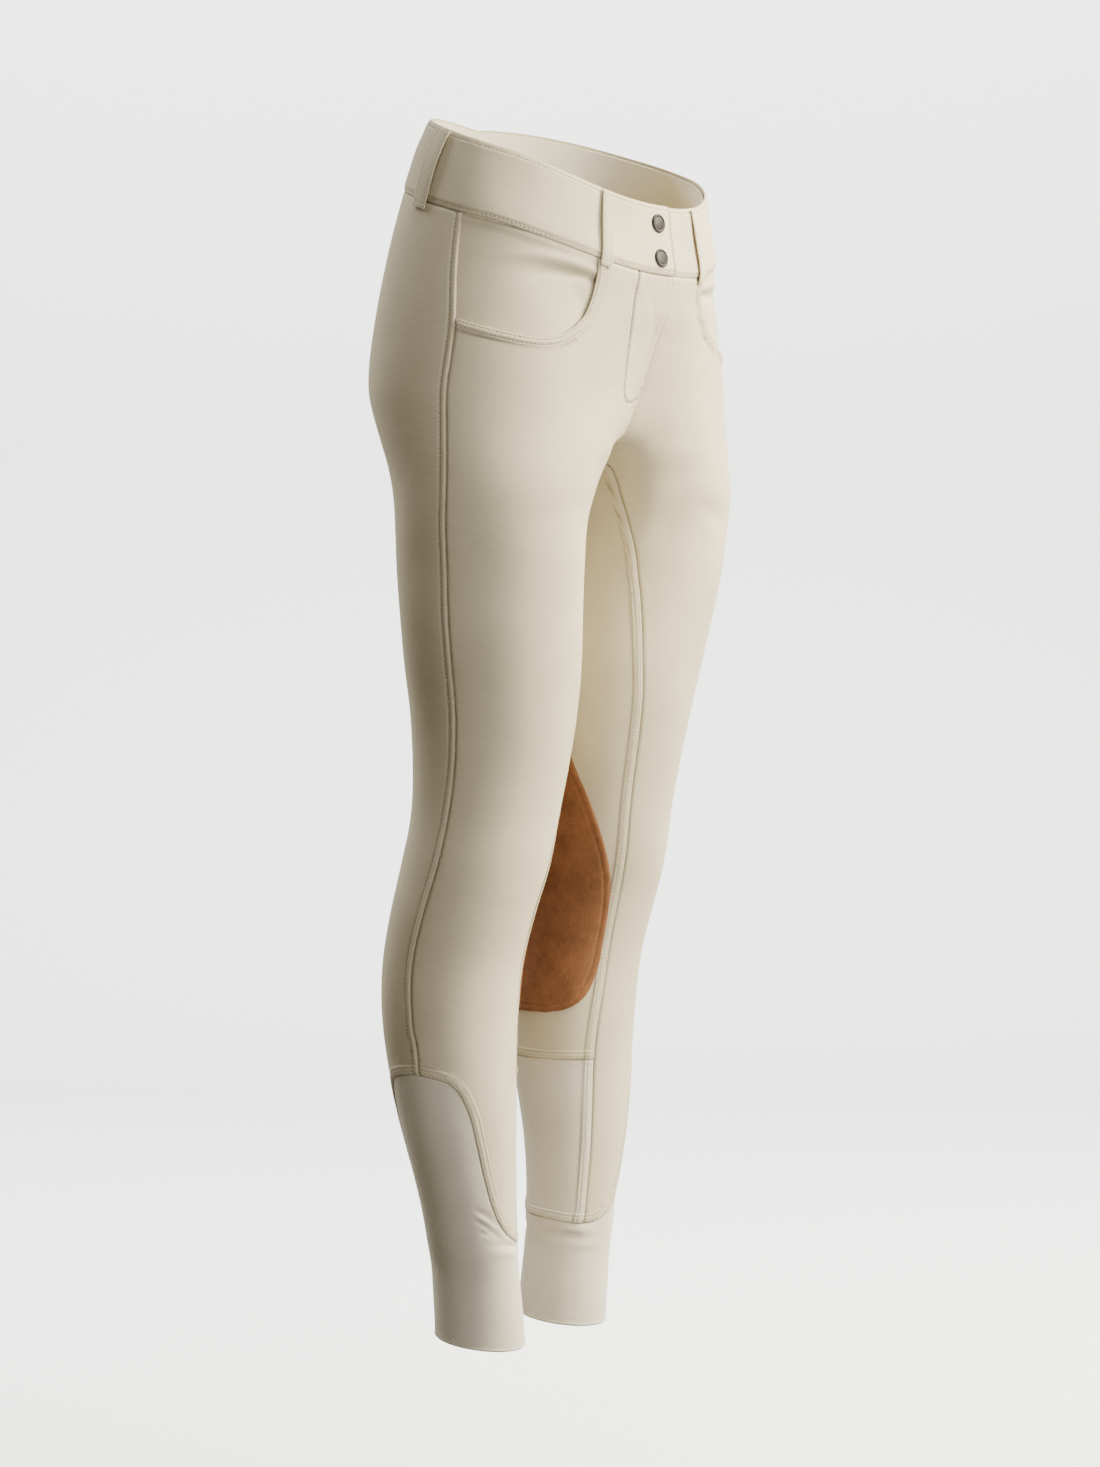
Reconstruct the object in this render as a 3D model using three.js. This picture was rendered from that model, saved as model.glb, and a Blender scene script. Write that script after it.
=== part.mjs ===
// Riding breeches, worn shape with no wearer in them. Millimetres, +Z up, the front faces -Y.
// The origin is the middle of the waistband. +X is the wearer's left.
//
// Every piece of cloth is cut from one form. A point of the form is named by two numbers:
//   t  how far round it lies. On the hips 0 is the centre front, 0.5 the side, 1 the centre back.
//      On a leg 0 and 1 are the inner leg, 0.25 its front, 0.5 its outer side, 0.75 its back.
//   s  its height in the pattern, 0 in the middle of the waistband, less below.
import * as THREE from 'three';

// Driving sizes
const CLOTH = 1.5;
const BAND_THICK = 2.4;
const FACING_THICK = 1.1;
const SUEDE_THICK = 1.2;
const SEAM_HALF_GAP = 0.15;
const LAID_ON_GAP = 0.45;
const PATCH_GAP = 0.85;
const BEHIND_GAP = 0.7;

const RIM = 27;
const BAND_SEAM = -31;
const CROTCH = -216;
const ARCH = 26;
const ARCH_BLEND = 1.5;
const SADDLE = 350;
const CALF_SEAM = -711;
const SOCK_LEVEL = -844;
const HEM = -928;
const FRONT_DIP = 16;
const BACK_DIP = 7;
const DIP_TOP = -25;
const DIP_END = -165;
const FRONT_DIP_FLAT = 0.04;
const FRONT_DIP_REACH = 0.36;
const BACK_DIP_REACH = 0.3;
const RISE_REACH = 0.14;
const THIGH_FROM = -175;
const THIGH_DROP = 70;
const THIGH_REACH = 0.12;
const BACK_FROM = 0.2;
const BACK_BLEND = 0.5;
const TURN_SHIFT = 0.075;
const TURN_END = 0.42;
const TURN_FROM = -170;
const TURN_FULL = -50;

// Hips: half width, depth, how far back the middle lies, and how far the section tips forward
const HIPS = [
  { s: 27, wide: 134.5, deep: 94.5, back: -4, tip: 0.34 },
  { s: 0, wide: 143, deep: 101, back: 0, tip: 0.33 },
  { s: -27, wide: 150, deep: 107.5, back: 3, tip: 0.3 },
  { s: -70, wide: 158, deep: 114.5, back: 11, tip: 0.19 },
  { s: -120, wide: 167, deep: 124.5, back: 14, tip: 0.07 },
  { s: -165, wide: 172, deep: 131, back: 15.5, tip: 0 },
  { s: -200, wide: 172, deep: 127.5, back: 11.5, tip: 0 },
  { s: -230, wide: 172, deep: 120.5, back: 4.5, tip: 0 },
  { s: -260, wide: 172, deep: 112, back: 0, tip: 0 },
  { s: -310, wide: 166, deep: 104, back: 2, tip: 0 },
];

// Leg: where its middle lies, its half width and half depth, and how far the section tips
const LEG = [
  { s: -165, out: 98, back: 10, wide: 74, deep: 84, tip: 0 },
  { s: -238, out: 101, back: 0, wide: 71, deep: 81, tip: 0 },
  { s: -270, out: 101.7, back: 0.5, wide: 69.3, deep: 77.5, tip: 0 },
  { s: -300, out: 98.8, back: 2, wide: 68.2, deep: 76.5, tip: 0 },
  { s: -340, out: 93.2, back: 5, wide: 68.2, deep: 73.8, tip: 0 },
  { s: -380, out: 86.5, back: 8.5, wide: 66.5, deep: 71.8, tip: 0 },
  { s: -420, out: 82, back: 11.5, wide: 62, deep: 67.5, tip: 0 },
  { s: -460, out: 80, back: 16, wide: 58, deep: 63.5, tip: 0 },
  { s: -500, out: 80.5, back: 21.5, wide: 56, deep: 60.3, tip: 0 },
  { s: -540, out: 83, back: 29.5, wide: 55.5, deep: 60.6, tip: 0 },
  { s: -580, out: 86, back: 40, wide: 54, deep: 58.5, tip: 0 },
  { s: -620, out: 85.5, back: 50, wide: 53, deep: 56.8, tip: 0 },
  { s: -660, out: 84, back: 54, wide: 52, deep: 55.7, tip: 0 },
  { s: -700, out: 82.3, back: 53.5, wide: 49, deep: 52.8, tip: 0 },
  { s: -740, out: 80, back: 50.3, wide: 44.5, deep: 48.5, tip: 0 },
  { s: -780, out: 76.5, back: 47, wide: 39.5, deep: 44, tip: 0.03 },
  { s: -820, out: 71, back: 45, wide: 35, deep: 40.2, tip: 0.05 },
  { s: -850, out: 66.5, back: 44.3, wide: 32.5, deep: 38.6, tip: 0.07 },
  { s: -870, out: 63.5, back: 44, wide: 31, deep: 37.6, tip: 0.08 },
  { s: -905, out: 59, back: 44.5, wide: 31.5, deep: 38.2, tip: 0.09 },
  { s: -928, out: 56.5, back: 45, wide: 32, deep: 38.8, tip: 0.09 },
];

// How far the hips have turned into a leg. The rise seam turns under in front and behind, while the
// front of the thigh and the seat turn more slowly.
const RISE = [
  { s: -27, front: 0, behind: 0, thigh: 0, seat: 0 },
  { s: -75, front: 0.05, behind: 0, thigh: 0.05, seat: 0 },
  { s: -118, front: 0.2, behind: 0, thigh: 0.2, seat: 0.02 },
  { s: -160, front: 0.365, behind: 0.03, thigh: 0.35, seat: 0.12 },
  { s: -190, front: 0.485, behind: 0.15, thigh: 0.48, seat: 0.27 },
  { s: -203, front: 0.57, behind: 0.32, thigh: 0.55, seat: 0.36 },
  { s: -210, front: 0.7, behind: 0.55, thigh: 0.59, seat: 0.41 },
  { s: -214, front: 0.88, behind: 0.82, thigh: 0.615, seat: 0.44 },
  { s: -216, front: 1, behind: 1, thigh: 0.63, seat: 0.455 },
  { s: -238, front: 1, behind: 1, thigh: 0.77, seat: 0.63 },
  { s: -270, front: 1, behind: 1, thigh: 0.9, seat: 0.85 },
  { s: -310, front: 1, behind: 1, thigh: 1, seat: 1 },
];

// Where the long seams run
const OUTSEAM = [
  { s: -31, t: 0.458 },
  { s: -75, t: 0.44 },
  { s: -123, t: 0.433 },
  { s: -190, t: 0.455 },
  { s: -254, t: 0.479 },
  { s: -420, t: 0.479 },
  { s: -525, t: 0.487 },
  { s: -612, t: 0.5 },
  { s: -704, t: 0.487 },
  { s: -928, t: 0.487 },
];
const INSEAM = [
  { s: -216, t: 0 },
  { s: -222, t: 0.024 },
  { s: -233, t: 0.034 },
  { s: -250, t: 0.044 },
  { s: -270, t: 0.059 },
  { s: -286, t: 0.073 },
  { s: -307, t: 0.091 },
  { s: -331, t: 0.109 },
  { s: -364, t: 0.128 },
  { s: -412, t: 0.148 },
  { s: -494, t: 0.156 },
  { s: -578, t: 0.164 },
  { s: -640, t: 0.172 },
  { s: -711, t: 0.152 },
  { s: -842, t: 0.133 },
];
// The top edge of the sock, half of it: the other half is its mirror image in the tongue's middle
const SOCK_EDGE = [
  { t: 0, s: SOCK_LEVEL },
  { t: 0.16, s: SOCK_LEVEL },
  { t: 0.25, s: -836 },
  { t: 0.295, s: -825 },
  { t: 0.323, s: -808 },
  { t: 0.34, s: -786 },
  { t: 0.352, s: -762 },
  { t: 0.362, s: -741 },
  { t: 0.375, s: -727 },
  { t: 0.392, s: -716 },
  { t: 0.42, s: -709 },
  { t: 0.5, s: -704 },
];
// The pocket opening: its upright edge down to the corner, then its lower edge to the side seam
const POCKET_UPRIGHT = [
  { s: -31, t: 0.177 },
  { s: -56, t: 0.175 },
  { s: -76, t: 0.18 },
  { s: -99, t: 0.196 },
  { s: -112, t: 0.217 },
];
const POCKET_LOWER = [
  { t: 0.217, s: -112 },
  { t: 0.245, s: -122 },
  { t: 0.283, s: -126 },
  { t: 0.35, s: -122 },
  { t: 0.44, s: -113 },
];
const BEARER_INNER = 0.14;
const BEARER_END = -142;
const CALF_BACK = 0.77;
// The knee patch: half its width round the leg at each height, about its own middle line
const PATCH_MIDDLE = -0.03;
const PATCH = [
  { s: -425, half: 0.008 },
  { s: -440, half: 0.026 },
  { s: -460, half: 0.045 },
  { s: -494, half: 0.092 },
  { s: -526, half: 0.131 },
  { s: -560, half: 0.165 },
  { s: -594, half: 0.18 },
  { s: -625, half: 0.183 },
  { s: -645, half: 0.172 },
  { s: -660, half: 0.148 },
  { s: -669, half: 0.105 },
  { s: -672, half: 0.06 },
];

// Belt loops: where they sit, their width, and how far the middle stands off the band
const LOOP_TOP = 24;
const LOOP_END = -37;
const LOOP_THICK = 1.4;
const LOOP_ROWS = 7;
const LOOP_FULLNESS = 0.6;
const LOOPS = [
  { name: 'front', t: 0.163, wide: 10, stand: 2.6 },
  { name: 'side', t: 0.585, wide: 18, stand: 2.2 },
  { name: 'back', t: 0.815, wide: 10, stand: 2.6 },
];

// Snap caps on the right end of the band
const SNAP_RADIUS = 7.4;
const SNAP_RIM = 1.2;
const SNAP_HEIGHT = 2.4;
const SNAP_WALL = 0.6;
const SNAP_DISH = 0.75;
const SNAP_SIDES = 20;
const SNAP_T = 0.038;
const SNAPS = [
  { name: 'upper', s: 12 },
  { name: 'lower', s: -16 },
];

// Rows and columns of the panels
const BODY_ROWS = [-31, -52, -74, -94, -112, -132, -154, -174, -190, -202, -209, -213.5, -215.3, -216, -217.3,
  -220.5, -228, -241, -260, -285, -315, -348, -385, -425, -460, -494, -526, -560, -594, -625, -648, -672];
const SHIN_ROWS = [0.227, 0.42, 0.62, 0.81, 1];
const FRONT_CUTS = [0.133, 0.18, 0.225, 0.265, 0.295, 0.316, 0.333, 0.345, 0.355, 0.366, 0.382, 0.41, 0.45,
  0.487];
const BACK_CUTS = [0.487, 0.53, 0.57, 0.6, 0.62, 0.635, 0.646, 0.658, 0.672, 0.695, 0.73, 0.77];
const CALF_COLUMNS = 7;
const CUTS_FROM = -520;
const CUTS_FULL = -700;
const SHIN_TOP = -672;
const POCKET_COLUMN = 5;
const POCKET_ROW = 4;
const POCKET_FOLLOW = [1, 0.5, 0.2];
const BEARER_COLUMNS = 9;
const BEARER_ROWS = 6;
const PATCH_COLUMNS = 12;
const SOCK_ROWS = 5;
const BAND_COLUMNS = 50;
const BAND_ROWS = 3;
const FACING_ROWS = 2;

// The band's ends, counted round from the centre back: 1 is the centre front by the left side
const RIGHT_END = -1.006;
const LEFT_END = 1.08;
const TUCK_FROM = 0.91;
const TUCK_FULL = 0.97;
const FACING_END = 0.88;
const FACING_DROP = 2;

const PROBE = 0.002;
const PROBE_DOWN = 0.5;

const smooth = (x) => {
  const k = Math.min(1, Math.max(0, x));
  return k * k * (3 - 2 * k);
};
const mix = (a, b, k) => a + (b - a) * k;

// Reads a named column of a table at a place between its rows, on a smooth curve through them
function look(table, key, column, at) {
  const x = table.map((row) => row[key]);
  const y = table.map((row) => row[column]);
  const falling = x[0] > x[x.length - 1] ? -1 : 1;
  const q = at * falling;
  const last = x.length - 1;
  if (q <= x[0] * falling) return y[0];
  if (q >= x[last] * falling) return y[last];
  let i = 0;
  while (q > x[i + 1] * falling) i += 1;
  const step = (k) => (x[k + 1] - x[k]) * falling;
  const slope = (k) => (y[k + 1] - y[k]) / step(k);
  const tangent = (k) => {
    if (k === 0) return slope(0);
    if (k === last) return slope(last - 1);
    return (slope(k - 1) * step(k) + slope(k) * step(k - 1)) / (step(k) + step(k - 1));
  };
  const h = step(i);
  const u = (q - x[i] * falling) / h;
  const u2 = u * u;
  const u3 = u2 * u;
  return (2 * u3 - 3 * u2 + 1) * y[i] + (u3 - 2 * u2 + u) * h * tangent(i)
    + (3 * u2 - 2 * u3) * y[i + 1] + (u3 - u2) * h * tangent(i + 1);
}

// The crotch is a saddle. A height over or under it counts for less, the nearer it is to the seam: at
// the seam it is cut off at 0, and beside the seam it is rounded off.
const saddle = (height, offSeam) => (height + Math.hypot(height, SADDLE * offSeam)) / 2;

// How far a leg reaches inwards from its middle. At the seam it meets the other leg as far down as a
// round arch at the crotch, while before and behind the seam the thigh narrows more slowly.
function innerReach(offSeam, s, out, wide) {
  const drop = saddle(CROTCH - s, offSeam);
  const inArch = Math.min(drop, ARCH);
  const arch = Math.sqrt(ARCH * ARCH - (ARCH - inArch) ** 2);
  const below = smooth((drop - ARCH / 2) / (ARCH * ARCH_BLEND));
  const atSeam = out - SEAM_HALF_GAP - mix(arch, out - wide, below);
  const beside = mix(out - SEAM_HALF_GAP, wide, smooth((THIGH_FROM - s) / THIGH_DROP));
  return mix(atSeam, beside, smooth(offSeam / THIGH_REACH));
}

// A point of the form on the wearer's left
function formPoint(t, s) {
  const around = t > 1 ? t - 1 : t;
  const turn = Math.PI * around;
  const offSeam = Math.min(around, 1 - around);
  const hipX = look(HIPS, 's', 'wide', s) * Math.sin(turn) + SEAM_HALF_GAP;
  const hipY = look(HIPS, 's', 'back', s) - look(HIPS, 's', 'deep', s) * Math.cos(turn);
  const out = look(LEG, 's', 'out', s);
  const wide = look(LEG, 's', 'wide', s);
  const back = look(LEG, 's', 'back', s);
  const across = Math.cos(2 * turn);
  const legX = out - (across > 0 ? innerReach(offSeam, s, out, wide) : wide) * across;
  const legY = back - look(LEG, 's', 'deep', s) * Math.sin(2 * turn);
  const behind = smooth((around - BACK_FROM) / BACK_BLEND);
  const rise = CROTCH + saddle(s - CROTCH, offSeam);
  const atRise = mix(look(RISE, 's', 'front', rise), look(RISE, 's', 'behind', rise), behind);
  const atThigh = mix(look(RISE, 's', 'thigh', s), look(RISE, 's', 'seat', s), behind);
  const w = mix(atRise, atThigh, smooth(offSeam / RISE_REACH));
  const y = mix(hipY, legY, w);
  const tip = mix(look(HIPS, 's', 'tip', s), look(LEG, 's', 'tip', s), w);
  const frontDip = FRONT_DIP * (1 - smooth((around - FRONT_DIP_FLAT) / FRONT_DIP_REACH));
  const backDip = BACK_DIP * Math.max(0, 1 - (1 - around) / BACK_DIP_REACH) ** 2;
  const dip = (frontDip + backDip) * smooth((s - DIP_END) / (DIP_TOP - DIP_END));
  return new THREE.Vector3(mix(hipX, legX, w), y, s + tip * (y - w * back) - dip);
}

function alongT(t, s) {
  const before = s > CROTCH ? Math.max(0, t - PROBE) : t - PROBE + (t < PROBE ? 1 : 0);
  const after = s > CROTCH ? Math.min(1, t + PROBE) : t + PROBE;
  return formPoint(after, s).sub(formPoint(before, s));
}

// The direction straight out of the form
function formNormal(t, s) {
  const down = formPoint(t, s - PROBE_DOWN).sub(formPoint(t, s + PROBE_DOWN));
  const normal = alongT(t, s).cross(down).negate();
  if (s >= CROTCH && (t === 0 || t === 1)) normal.x = 0;
  return normal.normalize();
}

const millimetresPerT = (t, s) => {
  const span = s > CROTCH && (t < PROBE || t > 1 - PROBE) ? PROBE : 2 * PROBE;
  return alongT(t, s).length() / span;
};

// The waist sits a little turned on the hips: the left pocket and the loop over it lie nearer the middle
function worn(t, s, side) {
  if (side < 0 || t > TURN_END) return t;
  const height = smooth((s - TURN_FROM) / (TURN_FULL - TURN_FROM));
  return t - TURN_SHIFT * height * Math.sin(Math.PI * t / TURN_END);
}

// A point on one side, moved out of the form by so many millimetres
function bodyPoint(t, s, out, side) {
  const p = formPoint(t, s).addScaledVector(formNormal(t, s), out);
  p.x = Math.max(SEAM_HALF_GAP, p.x) * side;
  return p;
}
const clothPoint = (t, s, out, side) => bodyPoint(worn(t, s, side), s, out, side);

// A closed wall from a grid of places. Cells that keep() refuses are left out.
function wallFromGrid(columns, rows, outer, inner, { closed = false, keep = () => true, flip = false } = {}) {
  const positions = [];
  const index = [];
  const known = new Map();
  const wide = closed ? columns : columns + 1;
  const vertex = (i, j, skin) => {
    const column = i % wide;
    const key = (j * wide + column) * 2 + skin;
    if (!known.has(key)) {
      const p = (skin ? inner : outer)(column, j);
      known.set(key, positions.length / 3);
      positions.push(p.x, p.y, p.z);
    }
    return known.get(key);
  };
  const quad = (a, b, c, d) => {
    if (flip) index.push(a, c, b, a, d, c);
    else index.push(a, b, c, a, c, d);
  };
  const kept = (i, j) => {
    if (j < 0 || j >= rows) return false;
    if (closed) return keep((i + columns) % columns, j);
    return i >= 0 && i < columns && keep(i, j);
  };
  for (let j = 0; j < rows; j += 1) {
    for (let i = 0; i < columns; i += 1) {
      if (kept(i, j)) {
        const o = [vertex(i, j, 0), vertex(i + 1, j, 0), vertex(i + 1, j + 1, 0), vertex(i, j + 1, 0)];
        const n = [vertex(i, j, 1), vertex(i + 1, j, 1), vertex(i + 1, j + 1, 1), vertex(i, j + 1, 1)];
        quad(o[0], o[3], o[2], o[1]);
        quad(n[0], n[1], n[2], n[3]);
        if (!kept(i, j - 1)) quad(o[0], o[1], n[1], n[0]);
        if (!kept(i, j + 1)) quad(o[2], o[3], n[3], n[2]);
        if (!kept(i - 1, j)) quad(o[3], o[0], n[0], n[3]);
        if (!kept(i + 1, j)) quad(o[1], o[2], n[2], n[1]);
      }
    }
  }
  const geometry = new THREE.BufferGeometry();
  geometry.setAttribute('position', new THREE.Float32BufferAttribute(positions, 3));
  geometry.setIndex(index);
  geometry.computeVertexNormals();
  return geometry;
}

// Cloth on one side: place(i, j) names the point, out and thick set the wall
function clothWall(columns, rows, place, out, thick, side, options = {}) {
  const skin = (depth) => (i, j) => {
    const { t, s } = place(i, j);
    return clothPoint(t, s, depth, side);
  };
  return wallFromGrid(columns, rows, skin(out), skin(out - thick), { ...options, flip: side < 0 });
}

const outseam = (s) => look(OUTSEAM, 's', 't', s);
const inseam = (s) => (s >= CROTCH ? 0 : look(INSEAM, 's', 't', s));
const seamStep = (t, s) => SEAM_HALF_GAP / millimetresPerT(t, s);
const sockEdge = (t) => {
  const around = t > 1 ? t - 1 : t;
  return look(SOCK_EDGE, 't', 's', Math.min(around, 1 - around));
};

// The gap along the sock's edge is kept square to the edge where that edge is steep
function sockGap(t) {
  const rise = (sockEdge(t + PROBE) - sockEdge(t - PROBE)) / (2 * PROBE);
  const steep = rise / millimetresPerT(t > 1 ? t - 1 : t, sockEdge(t));
  return SEAM_HALF_GAP * Math.sqrt(1 + steep * steep);
}

// The height of a panel's row at a place round the leg
function rowHeight(j, t) {
  if (j < BODY_ROWS.length) return j === 0 ? BODY_ROWS[0] - SEAM_HALF_GAP : BODY_ROWS[j];
  const k = SHIN_ROWS[j - BODY_ROWS.length];
  const end = sockEdge(t) + sockGap(t);
  return mix(SHIN_TOP, end, k);
}
const PANEL_ROWS = BODY_ROWS.length + SHIN_ROWS.length - 1;
const nominalHeight = (j) => (j < BODY_ROWS.length ? BODY_ROWS[j]
  : mix(SHIN_TOP, SOCK_LEVEL, SHIN_ROWS[j - BODY_ROWS.length]));
const CALF_ROW = BODY_ROWS.length;

// Columns run evenly from seam to seam above, and gather at the sock's tongue below
function panelColumn(cuts, i, from, to, s) {
  const even = i / (cuts.length - 1);
  const first = cuts[0];
  const last = cuts[cuts.length - 1];
  const gathered = (cuts[i] - first) / (last - first);
  const k = mix(even, gathered, smooth((s - CUTS_FROM) / (CUTS_FULL - CUTS_FROM)));
  return mix(from, to, k);
}

function frontPlace(i, j) {
  const s0 = nominalHeight(j);
  const last = FRONT_CUTS.length - 1;
  const edge = outseam(s0);
  const from = inseam(s0);
  let t = panelColumn(FRONT_CUTS, i, from, edge, s0);
  let lift = 0;
  if (j < POCKET_ROW + POCKET_FOLLOW.length) {
    const even = mix(from, edge, POCKET_COLUMN / last);
    const follow = POCKET_FOLLOW[Math.max(0, j - POCKET_ROW)];
    const upright = mix(even, look(POCKET_UPRIGHT, 's', 't', s0), follow);
    if (i <= POCKET_COLUMN) t = mix(from, upright, i / POCKET_COLUMN);
    else t = mix(upright, edge, (i - POCKET_COLUMN) / (last - POCKET_COLUMN));
    if (j >= POCKET_ROW && i >= POCKET_COLUMN) {
      lift = (look(POCKET_LOWER, 't', 's', t) - BODY_ROWS[POCKET_ROW]) * follow;
    }
  }
  const s = rowHeight(j, t) + lift;
  if (i === 0 && s < CROTCH) t += seamStep(t, s);
  if (i === last) t -= seamStep(t, s);
  return { t, s };
}

function frontPanel(side) {
  const keep = (i, j) => i < POCKET_COLUMN || j >= POCKET_ROW;
  return clothWall(FRONT_CUTS.length - 1, PANEL_ROWS, frontPlace, 0, CLOTH, side, { keep });
}

// The back panel runs from the side seam round the back and the inner leg to the inseam
const BACK_LAST = BACK_CUTS.length - 1;
function backPlace(i, j) {
  const s0 = nominalHeight(j);
  const from = outseam(s0);
  const to = 1 + inseam(s0);
  const columns = BACK_LAST + CALF_COLUMNS;
  const even = mix(from, to, i / columns);
  const split = smooth((s0 - CUTS_FROM) / (CALF_SEAM - CUTS_FROM));
  const lower = i <= BACK_LAST
    ? panelColumn(BACK_CUTS, i, from, CALF_BACK, s0)
    : mix(CALF_BACK, to, (i - BACK_LAST) / CALF_COLUMNS);
  let t = mix(even, lower, split);
  let s = rowHeight(j, t);
  if (j === CALF_ROW && i >= BACK_LAST) s = CALF_SEAM + SEAM_HALF_GAP;
  if (i === 0) t += seamStep(t, s);
  if (i === columns && s < CROTCH) t -= seamStep(t - 1, s);
  if (i === BACK_LAST && j > CALF_ROW) t -= seamStep(t, s);
  return { t, s };
}

function backPanel(side) {
  const keep = (i, j) => i < BACK_LAST || j < CALF_ROW;
  return clothWall(BACK_LAST + CALF_COLUMNS, PANEL_ROWS, backPlace, 0, CLOTH, side, { keep });
}

// The stretch panel on the inner calf, under the back panel's lower edge
function calfPanel(side) {
  const rows = PANEL_ROWS - CALF_ROW;
  const place = (i, j) => {
    const s0 = nominalHeight(CALF_ROW + j);
    let t = mix(CALF_BACK, 1 + inseam(s0), i / CALF_COLUMNS);
    const s = j === 0 ? CALF_SEAM - SEAM_HALF_GAP : rowHeight(CALF_ROW + j, t);
    if (i === 0) t += seamStep(t, s);
    if (i === CALF_COLUMNS) t -= seamStep(t - 1, s);
    return { t, s };
  };
  return clothWall(CALF_COLUMNS, rows, place, 0, CLOTH, side);
}

// The sock is one tube. Its columns meet those of the panels above it.
function sockColumns() {
  const calf = [];
  for (let i = 1; i < CALF_COLUMNS; i += 1) {
    calf.push(mix(CALF_BACK, 1 + INSEAM[INSEAM.length - 1].t, i / CALF_COLUMNS));
  }
  return [...FRONT_CUTS, ...BACK_CUTS.slice(1), ...calf];
}

function sock(side) {
  const columns = sockColumns();
  const place = (i, j) => {
    const t = columns[i];
    const top = sockEdge(t) - sockGap(t);
    return { t, s: mix(top, HEM, j / SOCK_ROWS) };
  };
  return clothWall(columns.length, SOCK_ROWS, place, 0, CLOTH, side, { closed: true });
}

// The cloth that shows inside the pocket opening, a little behind the front panel
function pocketBearer(side) {
  const place = (i, j) => {
    const s = mix(BAND_SEAM - SEAM_HALF_GAP, BEARER_END, j / BEARER_ROWS);
    const edge = outseam(s);
    const t = mix(BEARER_INNER, edge - seamStep(edge, s), i / BEARER_COLUMNS);
    return { t, s };
  };
  return clothWall(BEARER_COLUMNS, BEARER_ROWS, place, -CLOTH - BEHIND_GAP, CLOTH, side);
}

// A point moved out from the straight line between the two panel rows on either side of it
function pointOnRows(t, s, out, side) {
  let j = 0;
  while (j < BODY_ROWS.length - 2 && s < BODY_ROWS[j + 1]) j += 1;
  const above = clothPoint(t, BODY_ROWS[j], out, side);
  const below = clothPoint(t, BODY_ROWS[j + 1], out, side);
  return above.lerp(below, (BODY_ROWS[j] - s) / (BODY_ROWS[j] - BODY_ROWS[j + 1]));
}

// The suede patch lies on the back panel, on the inner side of the knee
function kneePatch(side) {
  const skin = (out) => (i, j) => {
    const t = PATCH_MIDDLE + PATCH[j].half * mix(-1, 1, i / PATCH_COLUMNS);
    return pointOnRows(t < 0 ? t + 1 : t, PATCH[j].s, out, side);
  };
  return wallFromGrid(PATCH_COLUMNS, PATCH.length - 1, skin(PATCH_GAP + SUEDE_THICK), skin(PATCH_GAP),
    { flip: side < 0 });
}

// A point of the band. q runs from -1 at the centre front, by the right side, to 1 by the left.
function bandPoint(q, s, out) {
  const past = Math.abs(q) > 1;
  const t = past ? Math.abs(q) - 1 : 1 - Math.abs(q);
  const side = (q < 0 ? -1 : 1) * (past ? -1 : 1);
  const p = formPoint(t, s);
  p.x -= SEAM_HALF_GAP;
  p.addScaledVector(formNormal(t, s), out);
  p.x *= side;
  return p;
}

// The left end of the band goes in under its right end
const tuck = (q) => -(BAND_THICK + BEHIND_GAP) * smooth((q - TUCK_FROM) / (TUCK_FULL - TUCK_FROM));

function bandWall(from, to, top, bottom, rows, out, thick) {
  const skin = (depth) => (i, j) => {
    const q = mix(from, to, i / BAND_COLUMNS);
    return bandPoint(q, mix(top, bottom, j / rows), depth + tuck(q));
  };
  return wallFromGrid(BAND_COLUMNS, rows, skin(out), skin(out - thick), { flip: true });
}

function waistband() {
  return bandWall(RIGHT_END, LEFT_END, RIM, BAND_SEAM + SEAM_HALF_GAP, BAND_ROWS, 0, BAND_THICK);
}

function waistbandFacing() {
  return bandWall(-FACING_END, FACING_END, RIM - FACING_DROP, BAND_SEAM + FACING_DROP, FACING_ROWS,
    -BAND_THICK - BEHIND_GAP, FACING_THICK);
}

// A belt loop lies on the band at both ends and stands off it between them
function beltLoop(loop, side) {
  const middle = worn(loop.t, 0, side);
  const halfT = loop.wide / 2 / millimetresPerT(middle, 0);
  const skin = (thick) => (i, j) => {
    const k = j / LOOP_ROWS;
    const stand = loop.stand * Math.sin(Math.PI * k) ** LOOP_FULLNESS;
    const t = middle + halfT * mix(-1, 1, i / 2);
    return bodyPoint(t, mix(LOOP_TOP, LOOP_END, k), LAID_ON_GAP + stand + thick, side);
  };
  return wallFromGrid(2, LOOP_ROWS, skin(LOOP_THICK), skin(0), { flip: side < 0 });
}

// A snap cap is a low turned button with a raised rim
function snapCap(snap) {
  const profile = [
    [0, 0], [SNAP_RADIUS, 0], [SNAP_RADIUS, SNAP_HEIGHT * SNAP_WALL], [SNAP_RADIUS - SNAP_RIM / 2, SNAP_HEIGHT],
    [SNAP_RADIUS - SNAP_RIM, SNAP_HEIGHT * SNAP_DISH], [0, SNAP_HEIGHT],
  ].map(([r, h]) => new THREE.Vector2(r, h));
  const geometry = new THREE.LatheGeometry(profile, SNAP_SIDES);
  const normal = formNormal(SNAP_T, snap.s);
  const seat = formPoint(SNAP_T, snap.s).addScaledVector(normal, LAID_ON_GAP);
  seat.x *= -1;
  normal.x *= -1;
  geometry.applyQuaternion(new THREE.Quaternion().setFromUnitVectors(new THREE.Vector3(0, 1, 0), normal));
  geometry.translate(seat.x, seat.y, seat.z);
  return geometry;
}

const cloth = (name, color) => new THREE.MeshStandardMaterial({ name, color, roughness: 0.85, metalness: 0 });
const breechCloth = () => cloth('breech_cloth', 0xe2dac4);
const facingCloth = () => cloth('facing_cloth', 0xeae4d2);
const stretchCloth = () => cloth('stretch_cloth', 0xdbd3bc);
const suede = () => cloth('suede', 0x7f4522);
const darkMetal = () => new THREE.MeshStandardMaterial({
  name: 'dark_metal', color: 0x59544e, roughness: 0.4, metalness: 0.9,
});

const breeches = new THREE.Group();
breeches.name = 'riding_breeches';

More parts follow.
